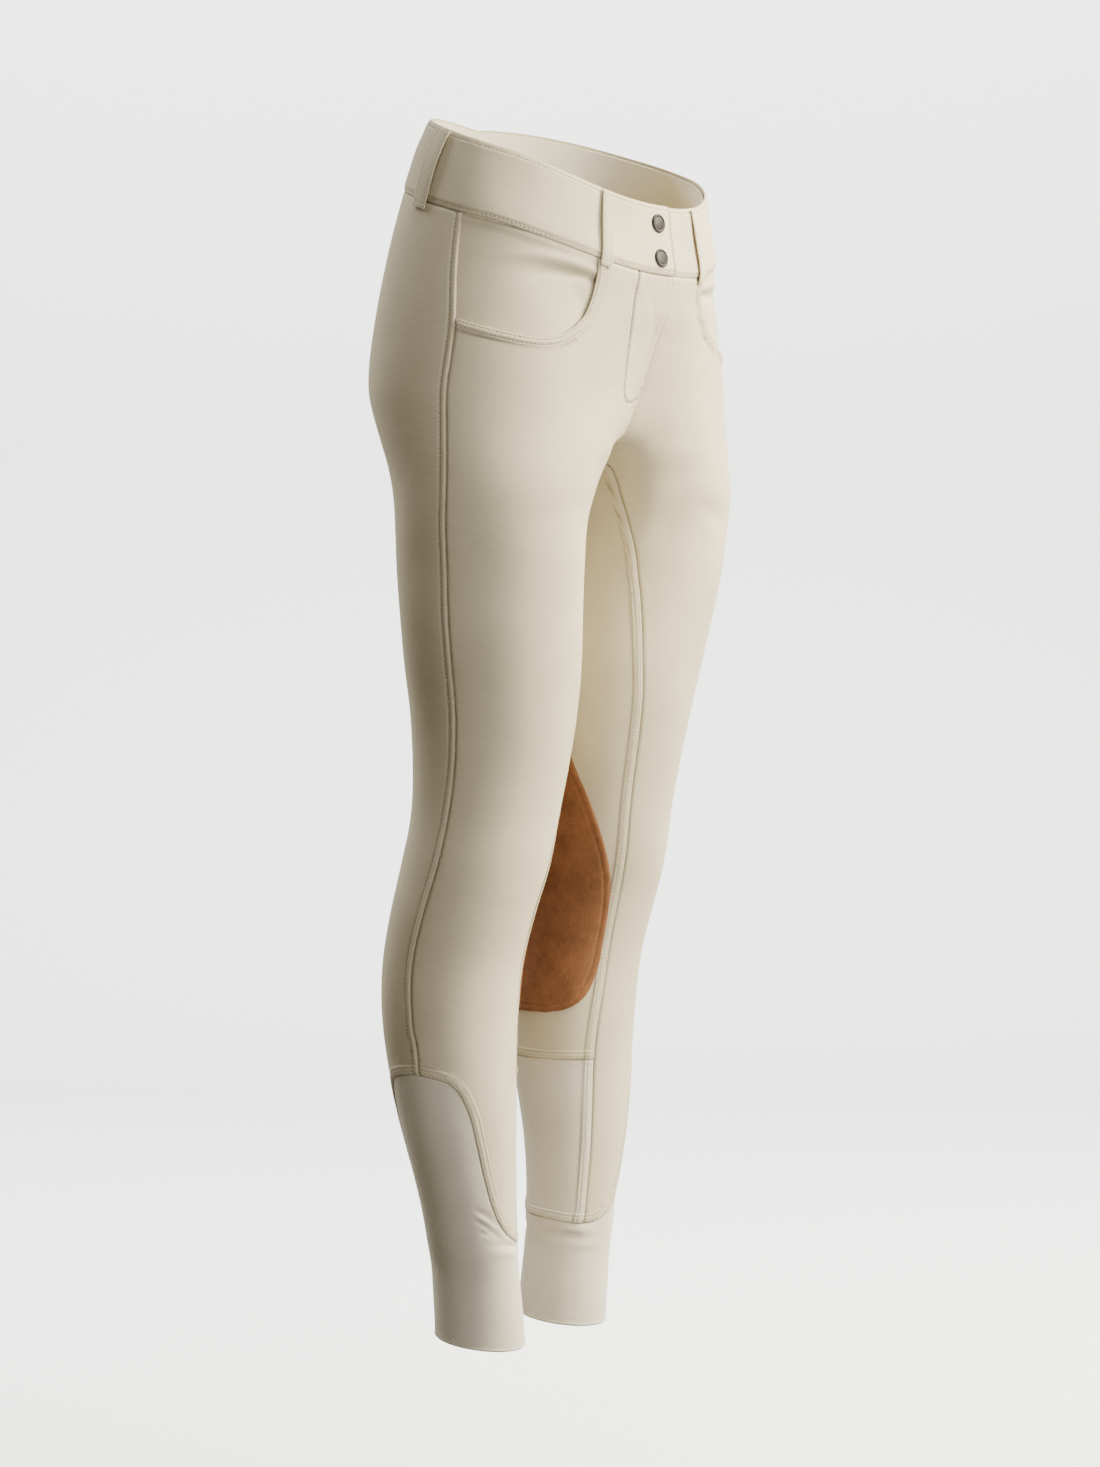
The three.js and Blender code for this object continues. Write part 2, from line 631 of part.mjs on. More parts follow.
function add(name, geometry, material) {
  const mesh = new THREE.Mesh(geometry, material);
  mesh.name = name;
  breeches.add(mesh);
}

for (const [hand, side] of [['right', -1], ['left', 1]]) {
  add(`front_${hand}`, frontPanel(side), breechCloth());
  add(`back_${hand}`, backPanel(side), breechCloth());
  add(`pocket_bearer_${hand}`, pocketBearer(side), breechCloth());
  add(`calf_panel_${hand}`, calfPanel(side), stretchCloth());
  add(`sock_${hand}`, sock(side), stretchCloth());
  add(`knee_patch_${hand}`, kneePatch(side), suede());
  for (const loop of LOOPS) add(`belt_loop_${loop.name}_${hand}`, beltLoop(loop, side), breechCloth());
}
add('waistband', waistband(), breechCloth());
add('waistband_facing', waistbandFacing(), facingCloth());
for (const snap of SNAPS) add(`snap_cap_${snap.name}`, snapCap(snap), darkMetal());

export default breeches;
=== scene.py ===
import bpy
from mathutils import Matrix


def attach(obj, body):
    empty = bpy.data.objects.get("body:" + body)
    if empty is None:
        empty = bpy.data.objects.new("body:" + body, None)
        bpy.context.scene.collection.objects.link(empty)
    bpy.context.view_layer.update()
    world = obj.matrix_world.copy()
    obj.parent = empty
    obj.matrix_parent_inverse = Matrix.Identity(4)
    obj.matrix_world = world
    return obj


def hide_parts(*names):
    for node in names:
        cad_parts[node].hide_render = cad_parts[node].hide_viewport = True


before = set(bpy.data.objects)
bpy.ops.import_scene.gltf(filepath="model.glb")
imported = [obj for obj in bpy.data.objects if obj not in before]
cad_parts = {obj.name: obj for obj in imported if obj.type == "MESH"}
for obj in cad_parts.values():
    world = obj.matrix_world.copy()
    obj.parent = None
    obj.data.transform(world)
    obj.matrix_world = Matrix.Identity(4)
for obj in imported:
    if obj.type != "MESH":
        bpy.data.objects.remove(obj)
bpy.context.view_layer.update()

import math

import bpy
import numpy as np
from mathutils import Vector
from mathutils.kdtree import KDTree

bl_info = {
    "name": "Riding breeches",
    "version": (1, 0, 0),
    "blender": (4, 5, 0),
    "location": "3D View > Sidebar > Breeches",
    "description": "Builds a pair of riding breeches in worn shape, and a plain studio for them",
    "category": "Add Mesh",
}

# The breeches are cut from one form, in millimetres. t says how far round it a point lies: 0 is the
# centre front of the hips or the inner leg, 0.5 the outer side, 1 the centre back or the inner leg
# again. s is the height in the pattern, 0 in the middle of the waistband.
METRES = 0.001
HALF_GAP = 0.05
RIM = 27.0
BAND_SEAM = -31.0
CROTCH = -216.0
FLY_END = -176.0
ARCH = 26.0
ARCH_BLEND = 1.5
SADDLE = 350.0
CALF_SEAM = -711.0
SOCK_LEVEL = -844.0
HEM = -928.0
SHIN_TOP = -672.0
FRONT_DIP = 16.0
BACK_DIP = 7.0
DIP_TOP = -25.0
DIP_END = -165.0
FRONT_DIP_FLAT = 0.04
FRONT_DIP_REACH = 0.36
BACK_DIP_REACH = 0.3
RISE_REACH = 0.14
THIGH_FROM = -175.0
THIGH_DROP = 70.0
THIGH_REACH = 0.12
BACK_FROM = 0.2
BACK_BLEND = 0.5
TURN_SHIFT = 0.075
TURN_END = 0.42
TURN_FROM = -170.0
TURN_FULL = -50.0
PROBE = 0.002


def table(names, *rows):
    """A short table with named columns."""
    return dict(zip(names.split(), np.array(rows, float).T))


HIPS = table(
    "s wide deep back tip",
    (27, 134.5, 94.5, -4, 0.34),
    (0, 143, 101, 0, 0.33),
    (-27, 150, 107.5, 3, 0.3),
    (-70, 158, 114.5, 11, 0.19),
    (-120, 167, 124.5, 14, 0.07),
    (-165, 172, 131, 15.5, 0),
    (-200, 172, 127.5, 11.5, 0),
    (-230, 172, 120.5, 4.5, 0),
    (-260, 172, 112, 0, 0),
    (-310, 166, 104, 2, 0),
)
LEG = table(
    "s out back wide deep tip",
    (-165, 98, 10, 74, 84, 0),
    (-238, 101, 0, 71, 81, 0),
    (-270, 101.7, 0.5, 69.3, 77.5, 0),
    (-300, 98.8, 2, 68.2, 76.5, 0),
    (-340, 93.2, 5, 68.2, 73.8, 0),
    (-380, 86.5, 8.5, 66.5, 71.8, 0),
    (-420, 82, 11.5, 62, 67.5, 0),
    (-460, 80, 16, 58, 63.5, 0),
    (-500, 80.5, 21.5, 56, 60.3, 0),
    (-540, 83, 29.5, 55.5, 60.6, 0),
    (-580, 86, 40, 54, 58.5, 0),
    (-620, 85.5, 50, 53, 56.8, 0),
    (-660, 84, 54, 52, 55.7, 0),
    (-700, 82.3, 53.5, 49, 52.8, 0),
    (-740, 80, 50.3, 44.5, 48.5, 0),
    (-780, 76.5, 47, 39.5, 44, 0.03),
    (-820, 71, 45, 35, 40.2, 0.05),
    (-850, 66.5, 44.3, 32.5, 38.6, 0.07),
    (-870, 63.5, 44, 31, 37.6, 0.08),
    (-905, 59, 44.5, 31.5, 38.2, 0.09),
    (-928, 56.5, 45, 32, 38.8, 0.09),
)
RISE = table(
    "s front behind thigh seat",
    (-27, 0, 0, 0, 0),
    (-75, 0.05, 0, 0.05, 0),
    (-118, 0.2, 0, 0.2, 0.02),
    (-160, 0.365, 0.03, 0.35, 0.12),
    (-190, 0.485, 0.15, 0.48, 0.27),
    (-203, 0.57, 0.32, 0.55, 0.36),
    (-210, 0.7, 0.55, 0.59, 0.41),
    (-214, 0.88, 0.82, 0.615, 0.44),
    (-216, 1, 1, 0.63, 0.455),
    (-238, 1, 1, 0.77, 0.63),
    (-270, 1, 1, 0.9, 0.85),
    (-310, 1, 1, 1, 1),
)
OUTSEAM = table(
    "s t",
    (-31, 0.458),
    (-75, 0.44),
    (-123, 0.433),
    (-190, 0.455),
    (-254, 0.479),
    (-420, 0.479),
    (-525, 0.487),
    (-612, 0.5),
    (-704, 0.487),
    (-928, 0.487),
)
INSEAM = table(
    "s t",
    (-216, 0),
    (-222, 0.024),
    (-233, 0.034),
    (-250, 0.044),
    (-270, 0.059),
    (-286, 0.073),
    (-307, 0.091),
    (-331, 0.109),
    (-364, 0.128),
    (-412, 0.148),
    (-494, 0.156),
    (-578, 0.164),
    (-640, 0.172),
    (-711, 0.152),
    (-842, 0.133),
)
SOCK_EDGE = table(
    "t s",
    (0, -844),
    (0.16, -844),
    (0.25, -836),
    (0.295, -825),
    (0.323, -808),
    (0.34, -786),
    (0.352, -762),
    (0.362, -741),
    (0.375, -727),
    (0.392, -716),
    (0.42, -709),
    (0.5, -704),
)
POCKET_UPRIGHT = table("s t", (-31, 0.177), (-56, 0.175), (-76, 0.18), (-99, 0.196), (-112, 0.217))
POCKET_LOWER = table("t s", (0.217, -112), (0.245, -122), (0.283, -126), (0.35, -122), (0.44, -113))
POCKET_CORNER = -112.0
POCKET_SHARE = 5 / 13
BEARER_INNER = 0.14
BEARER_END = -142.0
CALF_BACK = 0.77
CALF_SHARE = 11 / 18
PATCH_MIDDLE = -0.03
PATCH = table(
    "s half",
    (-425, 0.008),
    (-440, 0.026),
    (-460, 0.045),
    (-494, 0.092),
    (-526, 0.131),
    (-560, 0.165),
    (-594, 0.18),
    (-625, 0.183),
    (-645, 0.172),
    (-660, 0.148),
    (-669, 0.105),
    (-672, 0.06),
)
FLY_UPRIGHT = table("s t", (-31, 0.088), (-85, 0.091), (-126, 0.092), (-156, 0.092))
FLY_HOOK = table(
    "k t s",
    (0, 0.092, -156),
    (1, 0.0905, -165),
    (2, 0.084, -171),
    (3, 0.07, -174.5),
    (4, 0.05, -175.5),
    (5, 0.03, -174),
    (6, 0.014, -170),
    (7, 0.008, -162),
)
# Where the columns of a leg piece gather round the steep sides of the sock's tongue
FRONT_CUTS = [0.133, 0.18, 0.225, 0.265, 0.295, 0.316, 0.333, 0.345, 0.355, 0.366, 0.382, 0.41, 0.45, 0.487]
BACK_CUTS = [0.487, 0.53, 0.57, 0.6, 0.62, 0.635, 0.646, 0.658, 0.672, 0.695, 0.73, 0.77]
CUTS_FROM = -520.0
CUTS_FULL = -700.0

# The main creases: side 0 is on both legs, -1 the right one alone, 1 the left. Length,
# width and depth are in millimetres, depth below 0 is a trough, and turn is in degrees from level.
CREASES = table(
    "side t s length width depth turn",
    (0, 0.075, -203, 46, 8, -1.0, 58),
    (0, 0.12, -213, 40, 8, 0.7, 48),
    (0, 0.155, -228, 42, 7, -0.8, 38),
    (1, 0.23, -262, 62, 7, -1.6, -24),
    (1, 0.25, -275, 50, 8, 0.9, -24),
    (-1, 0.22, -256, 44, 7, -0.9, -20),
    (0, 0.9, -212, 52, 8, -2.2, -30),
    (0, 0.86, -226, 58, 9, 1.4, -22),
    (0, 0.82, -242, 60, 8, -1.5, -16),
    (0, 0.8, -545, 60, 8, -1.4, 12),
    (0, 0.74, -566, 52, 9, 1.1, -8),
    (0, 0.78, -588, 56, 7, -1.2, 6),
    (0, 0.3, -560, 44, 9, 0.7, 14),
    (-1, 0.341, -818, 30, 2.4, -1.2, 34),
    (-1, 0.35, -821, 26, 2.2, 0.7, 36),
    (-1, 0.34, -827, 32, 2.4, -1.3, 36),
    (-1, 0.33, -830.5, 32, 2.2, 0.8, 28),
    (-1, 0.32, -834, 36, 2.4, -1.3, 23),
    (-1, 0.3, -837.5, 36, 2.4, 0.8, 18),
    (-1, 0.26, -842, 52, 2.6, -1.2, 12),
    (-1, 0.27, -849, 50, 3.4, 0.7, 6),
    (1, 0.12, -850, 44, 4, 0.9, -3),
    (1, 0.06, -856, 46, 4, -1.1, 2),
    (1, 0.16, -862, 38, 4, 0.8, 4),
    (1, 0.338, -820, 30, 2.4, -1.1, 32),
    (1, 0.335, -829, 34, 2.4, -1.2, 30),
    (1, 0.31, -836, 40, 2.6, -1.0, 16),
    (0, 0.72, -830, 34, 4, -1.1, 34),
    (0, 0.75, -846, 38, 4, 0.9, 20),
    (0, 0.83, -858, 42, 4, -1.0, 6),
    (-1, 0.028, -98, 150, 4.5, -0.9, 80),
    (-1, 0.05, -90, 140, 5, 0.5, 82),
)
# The cloth spans the hollow in front of the rise: how far it is lifted at the centre front, in
# millimetres, and how wide the span is
SPAN = table(
    "s lift", (-60, 0), (-100, 0.8), (-130, 2.5), (-160, 4.2), (-180, 4.8), (-193, 4.2), (-203, 2.2), (-210, 0)
)
SPAN_WIDTH = 18.0
# The bearer's soft rolls below the waistband, which rise towards the pocket's upright edge
ROLLS = table(
    "side t s length width depth turn",
    (0, 0.235, -45, 120, 6, 2.4, -6),
    (0, 0.22, -57, 96, 5, -2.2, -9),
    (0, 0.3, -86, 80, 22, 1.4, 12),
    (0, 0.2, -84, 70, 7, -1.0, 76),
)

# How a piece's outer face lies near its edges: what is raised, how far in, and the groove at the edge
LAP_WIDTH = 6.8
LAP_FALL = 1.4
LAP_RISE = 0.9
STITCH_DENT = 0.42
NEAR_ROW = 1.7
BAND_ROW = 3.2
BAND_RISE = 0.95
FAR_ROW = 5.6
EDGE_STEPS = np.array([0, 0.35, 0.8, 1.3, 1.8, 2.5, 3.5, 4.7, 5.6, 6.5, 7.4, 8.2, 9.4, 12])
# Rows of cloth between a front panel's shin and the sock, and between a sock's two edges
SHIN_ROWS = 44
SOCK_ROWS = 66
# A place is in a hollow where the cloth this far off on both sides of it is higher
HOLLOW_REACH = 1.2


def smooth(x):
    k = np.clip(x, 0, 1)
    return k * k * (3 - 2 * k)


def mix(a, b, k):
    return a + (b - a) * k


def look(rows, key, column, at):
    """Reads a column of a table at places between its rows, on a smooth curve through them."""
    x, y = rows[key], rows[column]
    if x[0] > x[-1]:
        x, at = -x, -np.asarray(at, float)
    steps = np.diff(x)
    slopes = np.diff(y) / steps
    tangents = np.empty_like(y)
    tangents[0], tangents[-1] = slopes[0], slopes[-1]
    tangents[1:-1] = (slopes[:-1] * steps[:-1] + slopes[1:] * steps[1:]) / (steps[:-1] + steps[1:])
    q = np.clip(at, x[0], x[-1])
    i = np.clip(np.searchsorted(x, q, side="right") - 1, 0, len(x) - 2)
    h = steps[i]
    u = (q - x[i]) / h
    u2, u3 = u * u, u * u * u
    return (
        (2 * u3 - 3 * u2 + 1) * y[i]
        + (u3 - 2 * u2 + u) * h * tangents[i]
        + (3 * u2 - 2 * u3) * y[i + 1]
        + (u3 - u2) * h * tangents[i + 1]
    )


def saddle(height, off_seam):
    """A height over or under the crotch, cut off at 0 at the seam and rounded off beside it."""
    return (height + np.hypot(height, SADDLE * off_seam)) / 2


def inner_reach(off_seam, s, out, wide):
    """How far a leg reaches inwards from its middle. Its round arch at the crotch is at the seam alone."""
    drop = saddle(CROTCH - s, off_seam)
    in_arch = np.minimum(drop, ARCH)
    arch = np.sqrt(ARCH**2 - (ARCH - in_arch) ** 2)
    below = smooth((drop - ARCH / 2) / (ARCH * ARCH_BLEND))
    at_seam = out - HALF_GAP - mix(arch, out - wide, below)
    beside = mix(out - HALF_GAP, wide, smooth((THIGH_FROM - s) / THIGH_DROP))
    return mix(at_seam, beside, smooth(off_seam / THIGH_REACH))


def form_point(t, s):
    """Points of the form on the wearer's left."""
    t, s = np.broadcast_arrays(np.asarray(t, float), np.asarray(s, float))
    around = np.where(t > 1, t - 1, t)
    off_seam = np.minimum(around, 1 - around)
    turn = np.pi * around
    hip_x = look(HIPS, "s", "wide", s) * np.sin(turn) + HALF_GAP
    hip_y = look(HIPS, "s", "back", s) - look(HIPS, "s", "deep", s) * np.cos(turn)
    out, wide, back = (look(LEG, "s", name, s) for name in ("out", "wide", "back"))
    across = np.cos(2 * turn)
    leg_x = out - np.where(across > 0, inner_reach(off_seam, s, out, wide), wide) * across
    leg_y = back - look(LEG, "s", "deep", s) * np.sin(2 * turn)
    behind = smooth((around - BACK_FROM) / BACK_BLEND)
    rise = CROTCH + saddle(s - CROTCH, off_seam)
    at_rise = mix(look(RISE, "s", "front", rise), look(RISE, "s", "behind", rise), behind)
    at_thigh = mix(look(RISE, "s", "thigh", s), look(RISE, "s", "seat", s), behind)
    w = mix(at_rise, at_thigh, smooth(off_seam / RISE_REACH))
    y = mix(hip_y, leg_y, w)
    tip = mix(look(HIPS, "s", "tip", s), look(LEG, "s", "tip", s), w)
    front_dip = FRONT_DIP * (1 - smooth((around - FRONT_DIP_FLAT) / FRONT_DIP_REACH))
    back_dip = BACK_DIP * np.maximum(0, 1 - (1 - around) / BACK_DIP_REACH) ** 2
    dip = (front_dip + back_dip) * smooth((s - DIP_END) / (DIP_TOP - DIP_END))
    return np.stack([mix(hip_x, leg_x, w), y, s + tip * (y - w * back) - dip], -1)


def unit(v):
    return v / np.maximum(np.linalg.norm(v, axis=-1, keepdims=True), 1e-9)


def round_step(t, s):
    """The way along the form from just before t to just after it, and how much of t that is."""
    hips = s > CROTCH
    before = np.where(hips, np.maximum(0, t - PROBE), np.where(t < PROBE, t - PROBE + 1, t - PROBE))
    after = np.where(hips, np.minimum(1, t + PROBE), t + PROBE)
    span = np.where(hips & ((t < PROBE) | (t > 1 - PROBE)), PROBE, 2 * PROBE)
    return form_point(after, s) - form_point(before, s), span


def form_normal(t, s):
    t, s = np.broadcast_arrays(np.asarray(t, float), np.asarray(s, float))
    along = round_step(t, s)[0]
    down = form_point(t, s - 0.5) - form_point(t, s + 0.5)
    normal = -np.cross(along, down)
    on_rise = (s >= CROTCH) & ((t <= 0) | (t >= 1))
    normal[..., 0] = np.where(on_rise, 0, normal[..., 0])
    return unit(normal)


def mm_per_t(t, s):
    t, s = np.broadcast_arrays(np.asarray(t, float), np.asarray(s, float))
    step, span = round_step(t, s)
    return np.linalg.norm(step, axis=-1) / span


def worn(t, s, side):
    """The waist sits a little turned on the hips, which brings the left pocket nearer the middle."""
    if side < 0:
        return t
    height = smooth((s - TURN_FROM) / (TURN_FULL - TURN_FROM))
    return t - np.where(t < TURN_END, TURN_SHIFT * height * np.sin(np.pi * t / TURN_END), 0)


def outseam(s):
    return look(OUTSEAM, "s", "t", s)


def inseam(s):
    return np.where(np.asarray(s) >= CROTCH, 0, look(INSEAM, "s", "t", s))


def sock_edge(t):
    around = np.where(np.asarray(t) > 1, np.asarray(t) - 1, t)
    return look(SOCK_EDGE, "t", "s", np.minimum(around, 1 - around))


def crease_height(t, s, side, creases=CREASES):
    """How far the creases lift the cloth at each place."""
    t, s = np.broadcast_arrays(np.asarray(t, float), np.asarray(s, float))
    strength = bpy.context.scene.breeches.crease_strength
    scale = mm_per_t(t, s)
    height = np.zeros(t.shape)
    for k in range(len(creases["t"])):
        crease = {name: column[k] for name, column in creases.items()}
        if crease["side"] not in (0, side):
            continue
        x = (t - crease["t"] + 0.5) % 1 - 0.5
        x = x * scale
        y = s - crease["s"]
        turn = math.radians(crease["turn"])
        along = x * math.cos(turn) + y * math.sin(turn)
        across = y * math.cos(turn) - x * math.sin(turn)
        across = across + 0.004 * along**2
        reach = np.clip(1 - (2 * along / crease["length"]) ** 2, 0, 1) ** 2
        height += crease["depth"] * reach * np.exp(-((across / crease["width"]) ** 2))
    slow = 0.25 * np.sin(s / 37 + 9 * t) + 0.2 * np.sin(s / 23 - 14 * t + side)
    span = look(SPAN, "s", "lift", s) * np.exp(-((t * scale / SPAN_WIDTH) ** 2))
    return height * strength + slow * strength + span


def rows_of_dents(d, *rows):
    """The shallow dents that rows of stitches pull into the cloth."""
    return STITCH_DENT * sum(np.exp(-(((d - row) / 0.8) ** 2)) for row in rows)


def groove(d, depth, width):
    return depth * np.exp(-((d / width) ** 2))


def lap(d):
    """A topstitched seam's raised side: double cloth, a groove at the seam and two rows of stitches."""
    raised = LAP_RISE * (1 - smooth((d - LAP_WIDTH) / LAP_FALL))
    return raised - groove(d, 0.9, 0.9) - rows_of_dents(d, NEAR_ROW, FAR_ROW)


def ridge(d):
    """The side seam: a narrow rounded ridge, with the stitches in the ditch beyond it."""
    raised = 0.6 * np.sqrt(np.clip(1 - ((d - 2.1) / 2.1) ** 2, 0, 1))
    return raised - groove(d, 0.5, 0.5) - groove(d - FAR_ROW, 0.45, 0.8)


def under(d):
    """The side of a seam that the other one lies over."""
    return -groove(d, 1.0, 1.5)


def tucked(d):
    """The sock's edge under the lap, which grips it without a deep groove."""
    return -groove(d, 0.4, 0.9)


def flush(d):
    """A seam that is pressed flat and hardly shows."""
    return -groove(d, 0.3, 0.8)


def fly_edge(d):
    """The fly's own edge at the centre front, a soft fold."""
    return 0.5 * (1 - smooth((d - 3) / 6)) - groove(d, 0.8, 1.2)


def ditch(d):
    """A row of stitches in the middle of the cloth."""
    return 0.25 * np.exp(-(((d - 2.8) / 1.4) ** 2)) - groove(d, 1.0, 1.3)


def turned(d):
    """A free edge, rolled under."""
    return 0.35 * np.exp(-(((d - 1.2) / 1.1) ** 2)) - groove(d, 0.5, 0.5)


def pocket_edge(d):
    """The pocket's edge, a folded hem with two rows of stitches."""
    raised = 0.8 * (1 - smooth((d - 6.6) / 1.6)) + 0.45 * np.exp(-(((d - 3.8) / 1.7) ** 2))
    return raised - groove(d, 0.6, 0.5) - groove(d - 8.2, 0.15, 0.9) - rows_of_dents(d, NEAR_ROW, FAR_ROW)


def sewn_in(d):
    """The bearer's top, drawn up to the seam that holds it."""
    return 1.4 * (1 - smooth(d / 8)) - groove(d, 0.4, 0.8)


def band_edge(d):
    """The band is full and rounds over at its edges."""
    return -0.9 * (1 - smooth(d / 6)) - groove(d, 0.5, 0.6) - rows_of_dents(d, BAND_ROW)


def patch_edge(d):
    return 0.2 * smooth(d / 3) - groove(d, 0.5, 0.7) - groove(d - FAR_ROW, 0.35, 0.9)


def no_change(d):
    return np.zeros_like(d)


def hollow_at(d, profile):
    """How deep a profile's grooves are at each distance, for the painted shade that darkens them."""
    beside = (profile(abs(d - HOLLOW_REACH)) + profile(d + HOLLOW_REACH)) / 2
    return np.maximum(0, beside - profile(d))


def along_width(width, middle):
    """Places across a width in millimetres: close together at both edges, even between them."""
    width = np.asarray(width, float)[:, None]
    steps = EDGE_STEPS[None, :] * np.minimum(1, width / (EDGE_STEPS[-1] * 2.4))
    inner = np.linspace(0, 1, middle + 1)[1:-1][None, :]
    between = steps[:, -1:] + (width - 2 * steps[:, -1:]) * inner
    return np.concatenate([steps, between, (width - steps)[:, ::-1]], 1) / width


def edge_distance(points, edge):
    """How far each point lies from an edge, measured to a dense line along it."""
    line = [edge[0]]
    for a, b in zip(edge[:-1], edge[1:]):
        count = max(1, int(np.linalg.norm(b - a) / 0.5))
        line.extend(a + (b - a) * (k + 1) / count for k in range(count))
    tree = KDTree(len(line))
    for k, p in enumerate(line):
        tree.insert(p, k)
    tree.balance()
    flat = points.reshape(-1, 3)
    return np.array([tree.find(p)[2] for p in flat]).reshape(points.shape[:-1])


def pucker(points, d):
    """Small uneven gathers that sewing draws into the cloth beside a seam."""
    x, y, z = points[..., 0], points[..., 1], points[..., 2]
    waves = np.sin(z * 0.95 + x * 0.5) + 0.7 * np.sin(z * 0.61 - y * 0.83 + 1.3) + 0.5 * np.sin(x * 1.1 - y * 0.7)
    return 0.07 * waves * np.exp(-((d / 6) ** 2)) * (1 - np.exp(-((d / 1.2) ** 2)))


def finish_mesh(name, verts, faces, material, uv=None, hollow=None):
    mesh = bpy.data.meshes.new(name)
    mesh.from_pydata((np.asarray(verts) * METRES).tolist(), [], faces)
    if uv is not None:
        layer = mesh.uv_layers.new(name="cloth")
        index = np.empty(len(mesh.loops), int)
        mesh.loops.foreach_get("vertex_index", index)
        layer.data.foreach_set("uv", (np.asarray(uv)[index] * METRES).ravel())
    if hollow is not None:
        attribute = mesh.attributes.new("hollow", "FLOAT", "POINT")
        attribute.data.foreach_set("value", np.asarray(hollow, float))
    mesh.materials.append(material)
    mesh.validate()
    mesh.shade_smooth()
    mesh.set_sharp_from_angle(angle=math.radians(50))
    piece = bpy.data.objects.new(name, mesh)
    bpy.context.collection.objects.link(piece)
    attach(piece, "root")
    return piece


def wall_faces(rows, columns, keep, closed, flip):
    """The faces of a closed wall over a grid. The inner skin's points follow all the outer ones."""
    count = rows * columns
    wide = columns if closed else columns - 1
    faces = []

    def at(j, i):
        return j * columns + i % columns

    def kept(j, i):
        if closed:
            i %= wide
        return 0 <= j < rows - 1 and 0 <= i < wide and keep[j, i]

    for j in range(rows - 1):
        for i in range(wide):
            if not keep[j, i]:
                continue
            a, b, c, d = at(j, i), at(j, i + 1), at(j + 1, i + 1), at(j + 1, i)
            faces.append((a, d, c, b))
            faces.append((a + count, b + count, c + count, d + count))
            if not kept(j - 1, i):
                faces.append((a, b, b + count, a + count))
            if not kept(j + 1, i):
                faces.append((c, d, d + count, c + count))
            if not kept(j, i - 1):
                faces.append((d, a, a + count, d + count))
            if not kept(j, i + 1):
                faces.append((b, c, c + count, b + count))
    return [face[::-1] for face in faces] if flip else faces


def cloth_piece(
    name, t, s, side, base, thick, edges, material, keep=None, closed=False, creases=CREASES
):
    """A thin closed shell of cloth over a grid of places. edges holds (edge line, profile) pairs."""
    place = worn(t, s, side)
    points, normals = form_point(place, s), form_normal(place, s)
    out = base + crease_height(t, s, side, creases)
    inner = out - thick
    nearest = np.full(t.shape, 99.0)
    # hollow gathers how deep the grooves lie; the cloth's colour darkens with it as painted shade
    hollow = np.zeros(t.shape)
    for line, profile in edges:
        d = edge_distance(points, line(points))
        out += profile(d)
        nearest = np.minimum(nearest, d)
        hollow = np.maximum(hollow, hollow_at(d, profile))
    out += pucker(points, nearest)
    inner = np.minimum(inner, out - 0.45)
    skins = [points + normals * depth[..., None] for depth in (out, inner)]
    for skin in skins:
        skin[..., 0] = np.maximum(HALF_GAP, skin[..., 0]) * side
    rows, columns = t.shape
    if keep is None:
        keep = np.ones((rows - 1, columns if closed else columns - 1), bool)
    steps = np.linalg.norm(np.diff(points, axis=1), axis=-1)
    u = np.concatenate([np.zeros((rows, 1)), np.cumsum(steps, 1)], 1)
    uv = np.stack([u * side, s], -1).reshape(-1, 2)
    verts = np.concatenate([skin.reshape(-1, 3) for skin in skins])
    faces = wall_faces(rows, columns, keep, closed, side < 0)
    used = np.unique(np.concatenate([np.asarray(face) for face in faces]))
    number = np.full(len(verts), -1)
    number[used] = np.arange(len(used))
    return finish_mesh(
        name,
        verts[used],
        [tuple(int(number[k]) for k in face) for face in faces],
        material,
        np.concatenate([uv, uv])[used],
        np.concatenate([hollow.ravel(), hollow.ravel()])[used],
    )


def body_rows():
    """Heights of the rows from the waistband seam down to the shin."""
    top = BAND_SEAM - EDGE_STEPS
    to_pocket = np.linspace(top[-1], POCKET_CORNER, 18)[1:]
    under_pocket = POCKET_CORNER - EDGE_STEPS[1:]
    to_fly_end = np.linspace(under_pocket[-1], FLY_END + 18, 8)[1:]
    fly_end = np.linspace(FLY_END + 18, FLY_END - 5, 22)[1:]
    to_crotch = np.linspace(FLY_END - 5, CROTCH + 13, 8)[1:]
    crotch = CROTCH + np.array([10.5, 8, 6, 4.2, 2.8, 1.7, 0.9, 0.4, 0, -0.4, -1.2, -2.6, -4.6, -7.2, -10.5, -14.5, -19.5])
    leg = np.linspace(CROTCH - 25, SHIN_TOP, 78)
    return np.concatenate([top, to_pocket, under_pocket, to_fly_end, fly_end, to_crotch, crotch, leg])


def shin_rows(t, calf_row=False):
    """Heights of the rows from the shin to the sock's edge, for a row of places round the leg."""
    end = sock_edge(t) + HALF_GAP
    fall = SHIN_TOP - SOCK_LEVEL
    rows = []
    first = 0.0
    if calf_row:
        drop = SHIN_TOP - CALF_SEAM
        marks = np.concatenate([np.linspace(0, drop - EDGE_STEPS[-1], 6)[1:], drop - EDGE_STEPS[::-1][1:]])
        rows.extend(mix(SHIN_TOP, end, mark / fall) for mark in marks)
        first = drop / fall
    last = 1 - EDGE_STEPS[-1] / (SHIN_TOP - end)
    count = 26 if calf_row else SHIN_ROWS
    for k in range(1, count + 1):
        rows.append(mix(SHIN_TOP, end, mix(first, np.maximum(last, first), k / count)))
    room = (SHIN_TOP - end) * (1 - np.maximum(last, first)) / EDGE_STEPS[-1]
    rows.extend(end + step * room for step in EDGE_STEPS[::-1][1:])
    return rows, (len(marks) if calf_row else 0)


def gathered(cuts, even, s):
    """Turns even columns into ones that gather at the sock's tongue, lower down the leg."""
    marks = np.linspace(0, 1, len(cuts))
    share = (np.array(cuts) - cuts[0]) / (cuts[-1] - cuts[0])
    pulled = np.interp(even, marks, share)
    return mix(even, pulled, smooth((s - CUTS_FROM) / (CUTS_FULL - CUTS_FROM)))


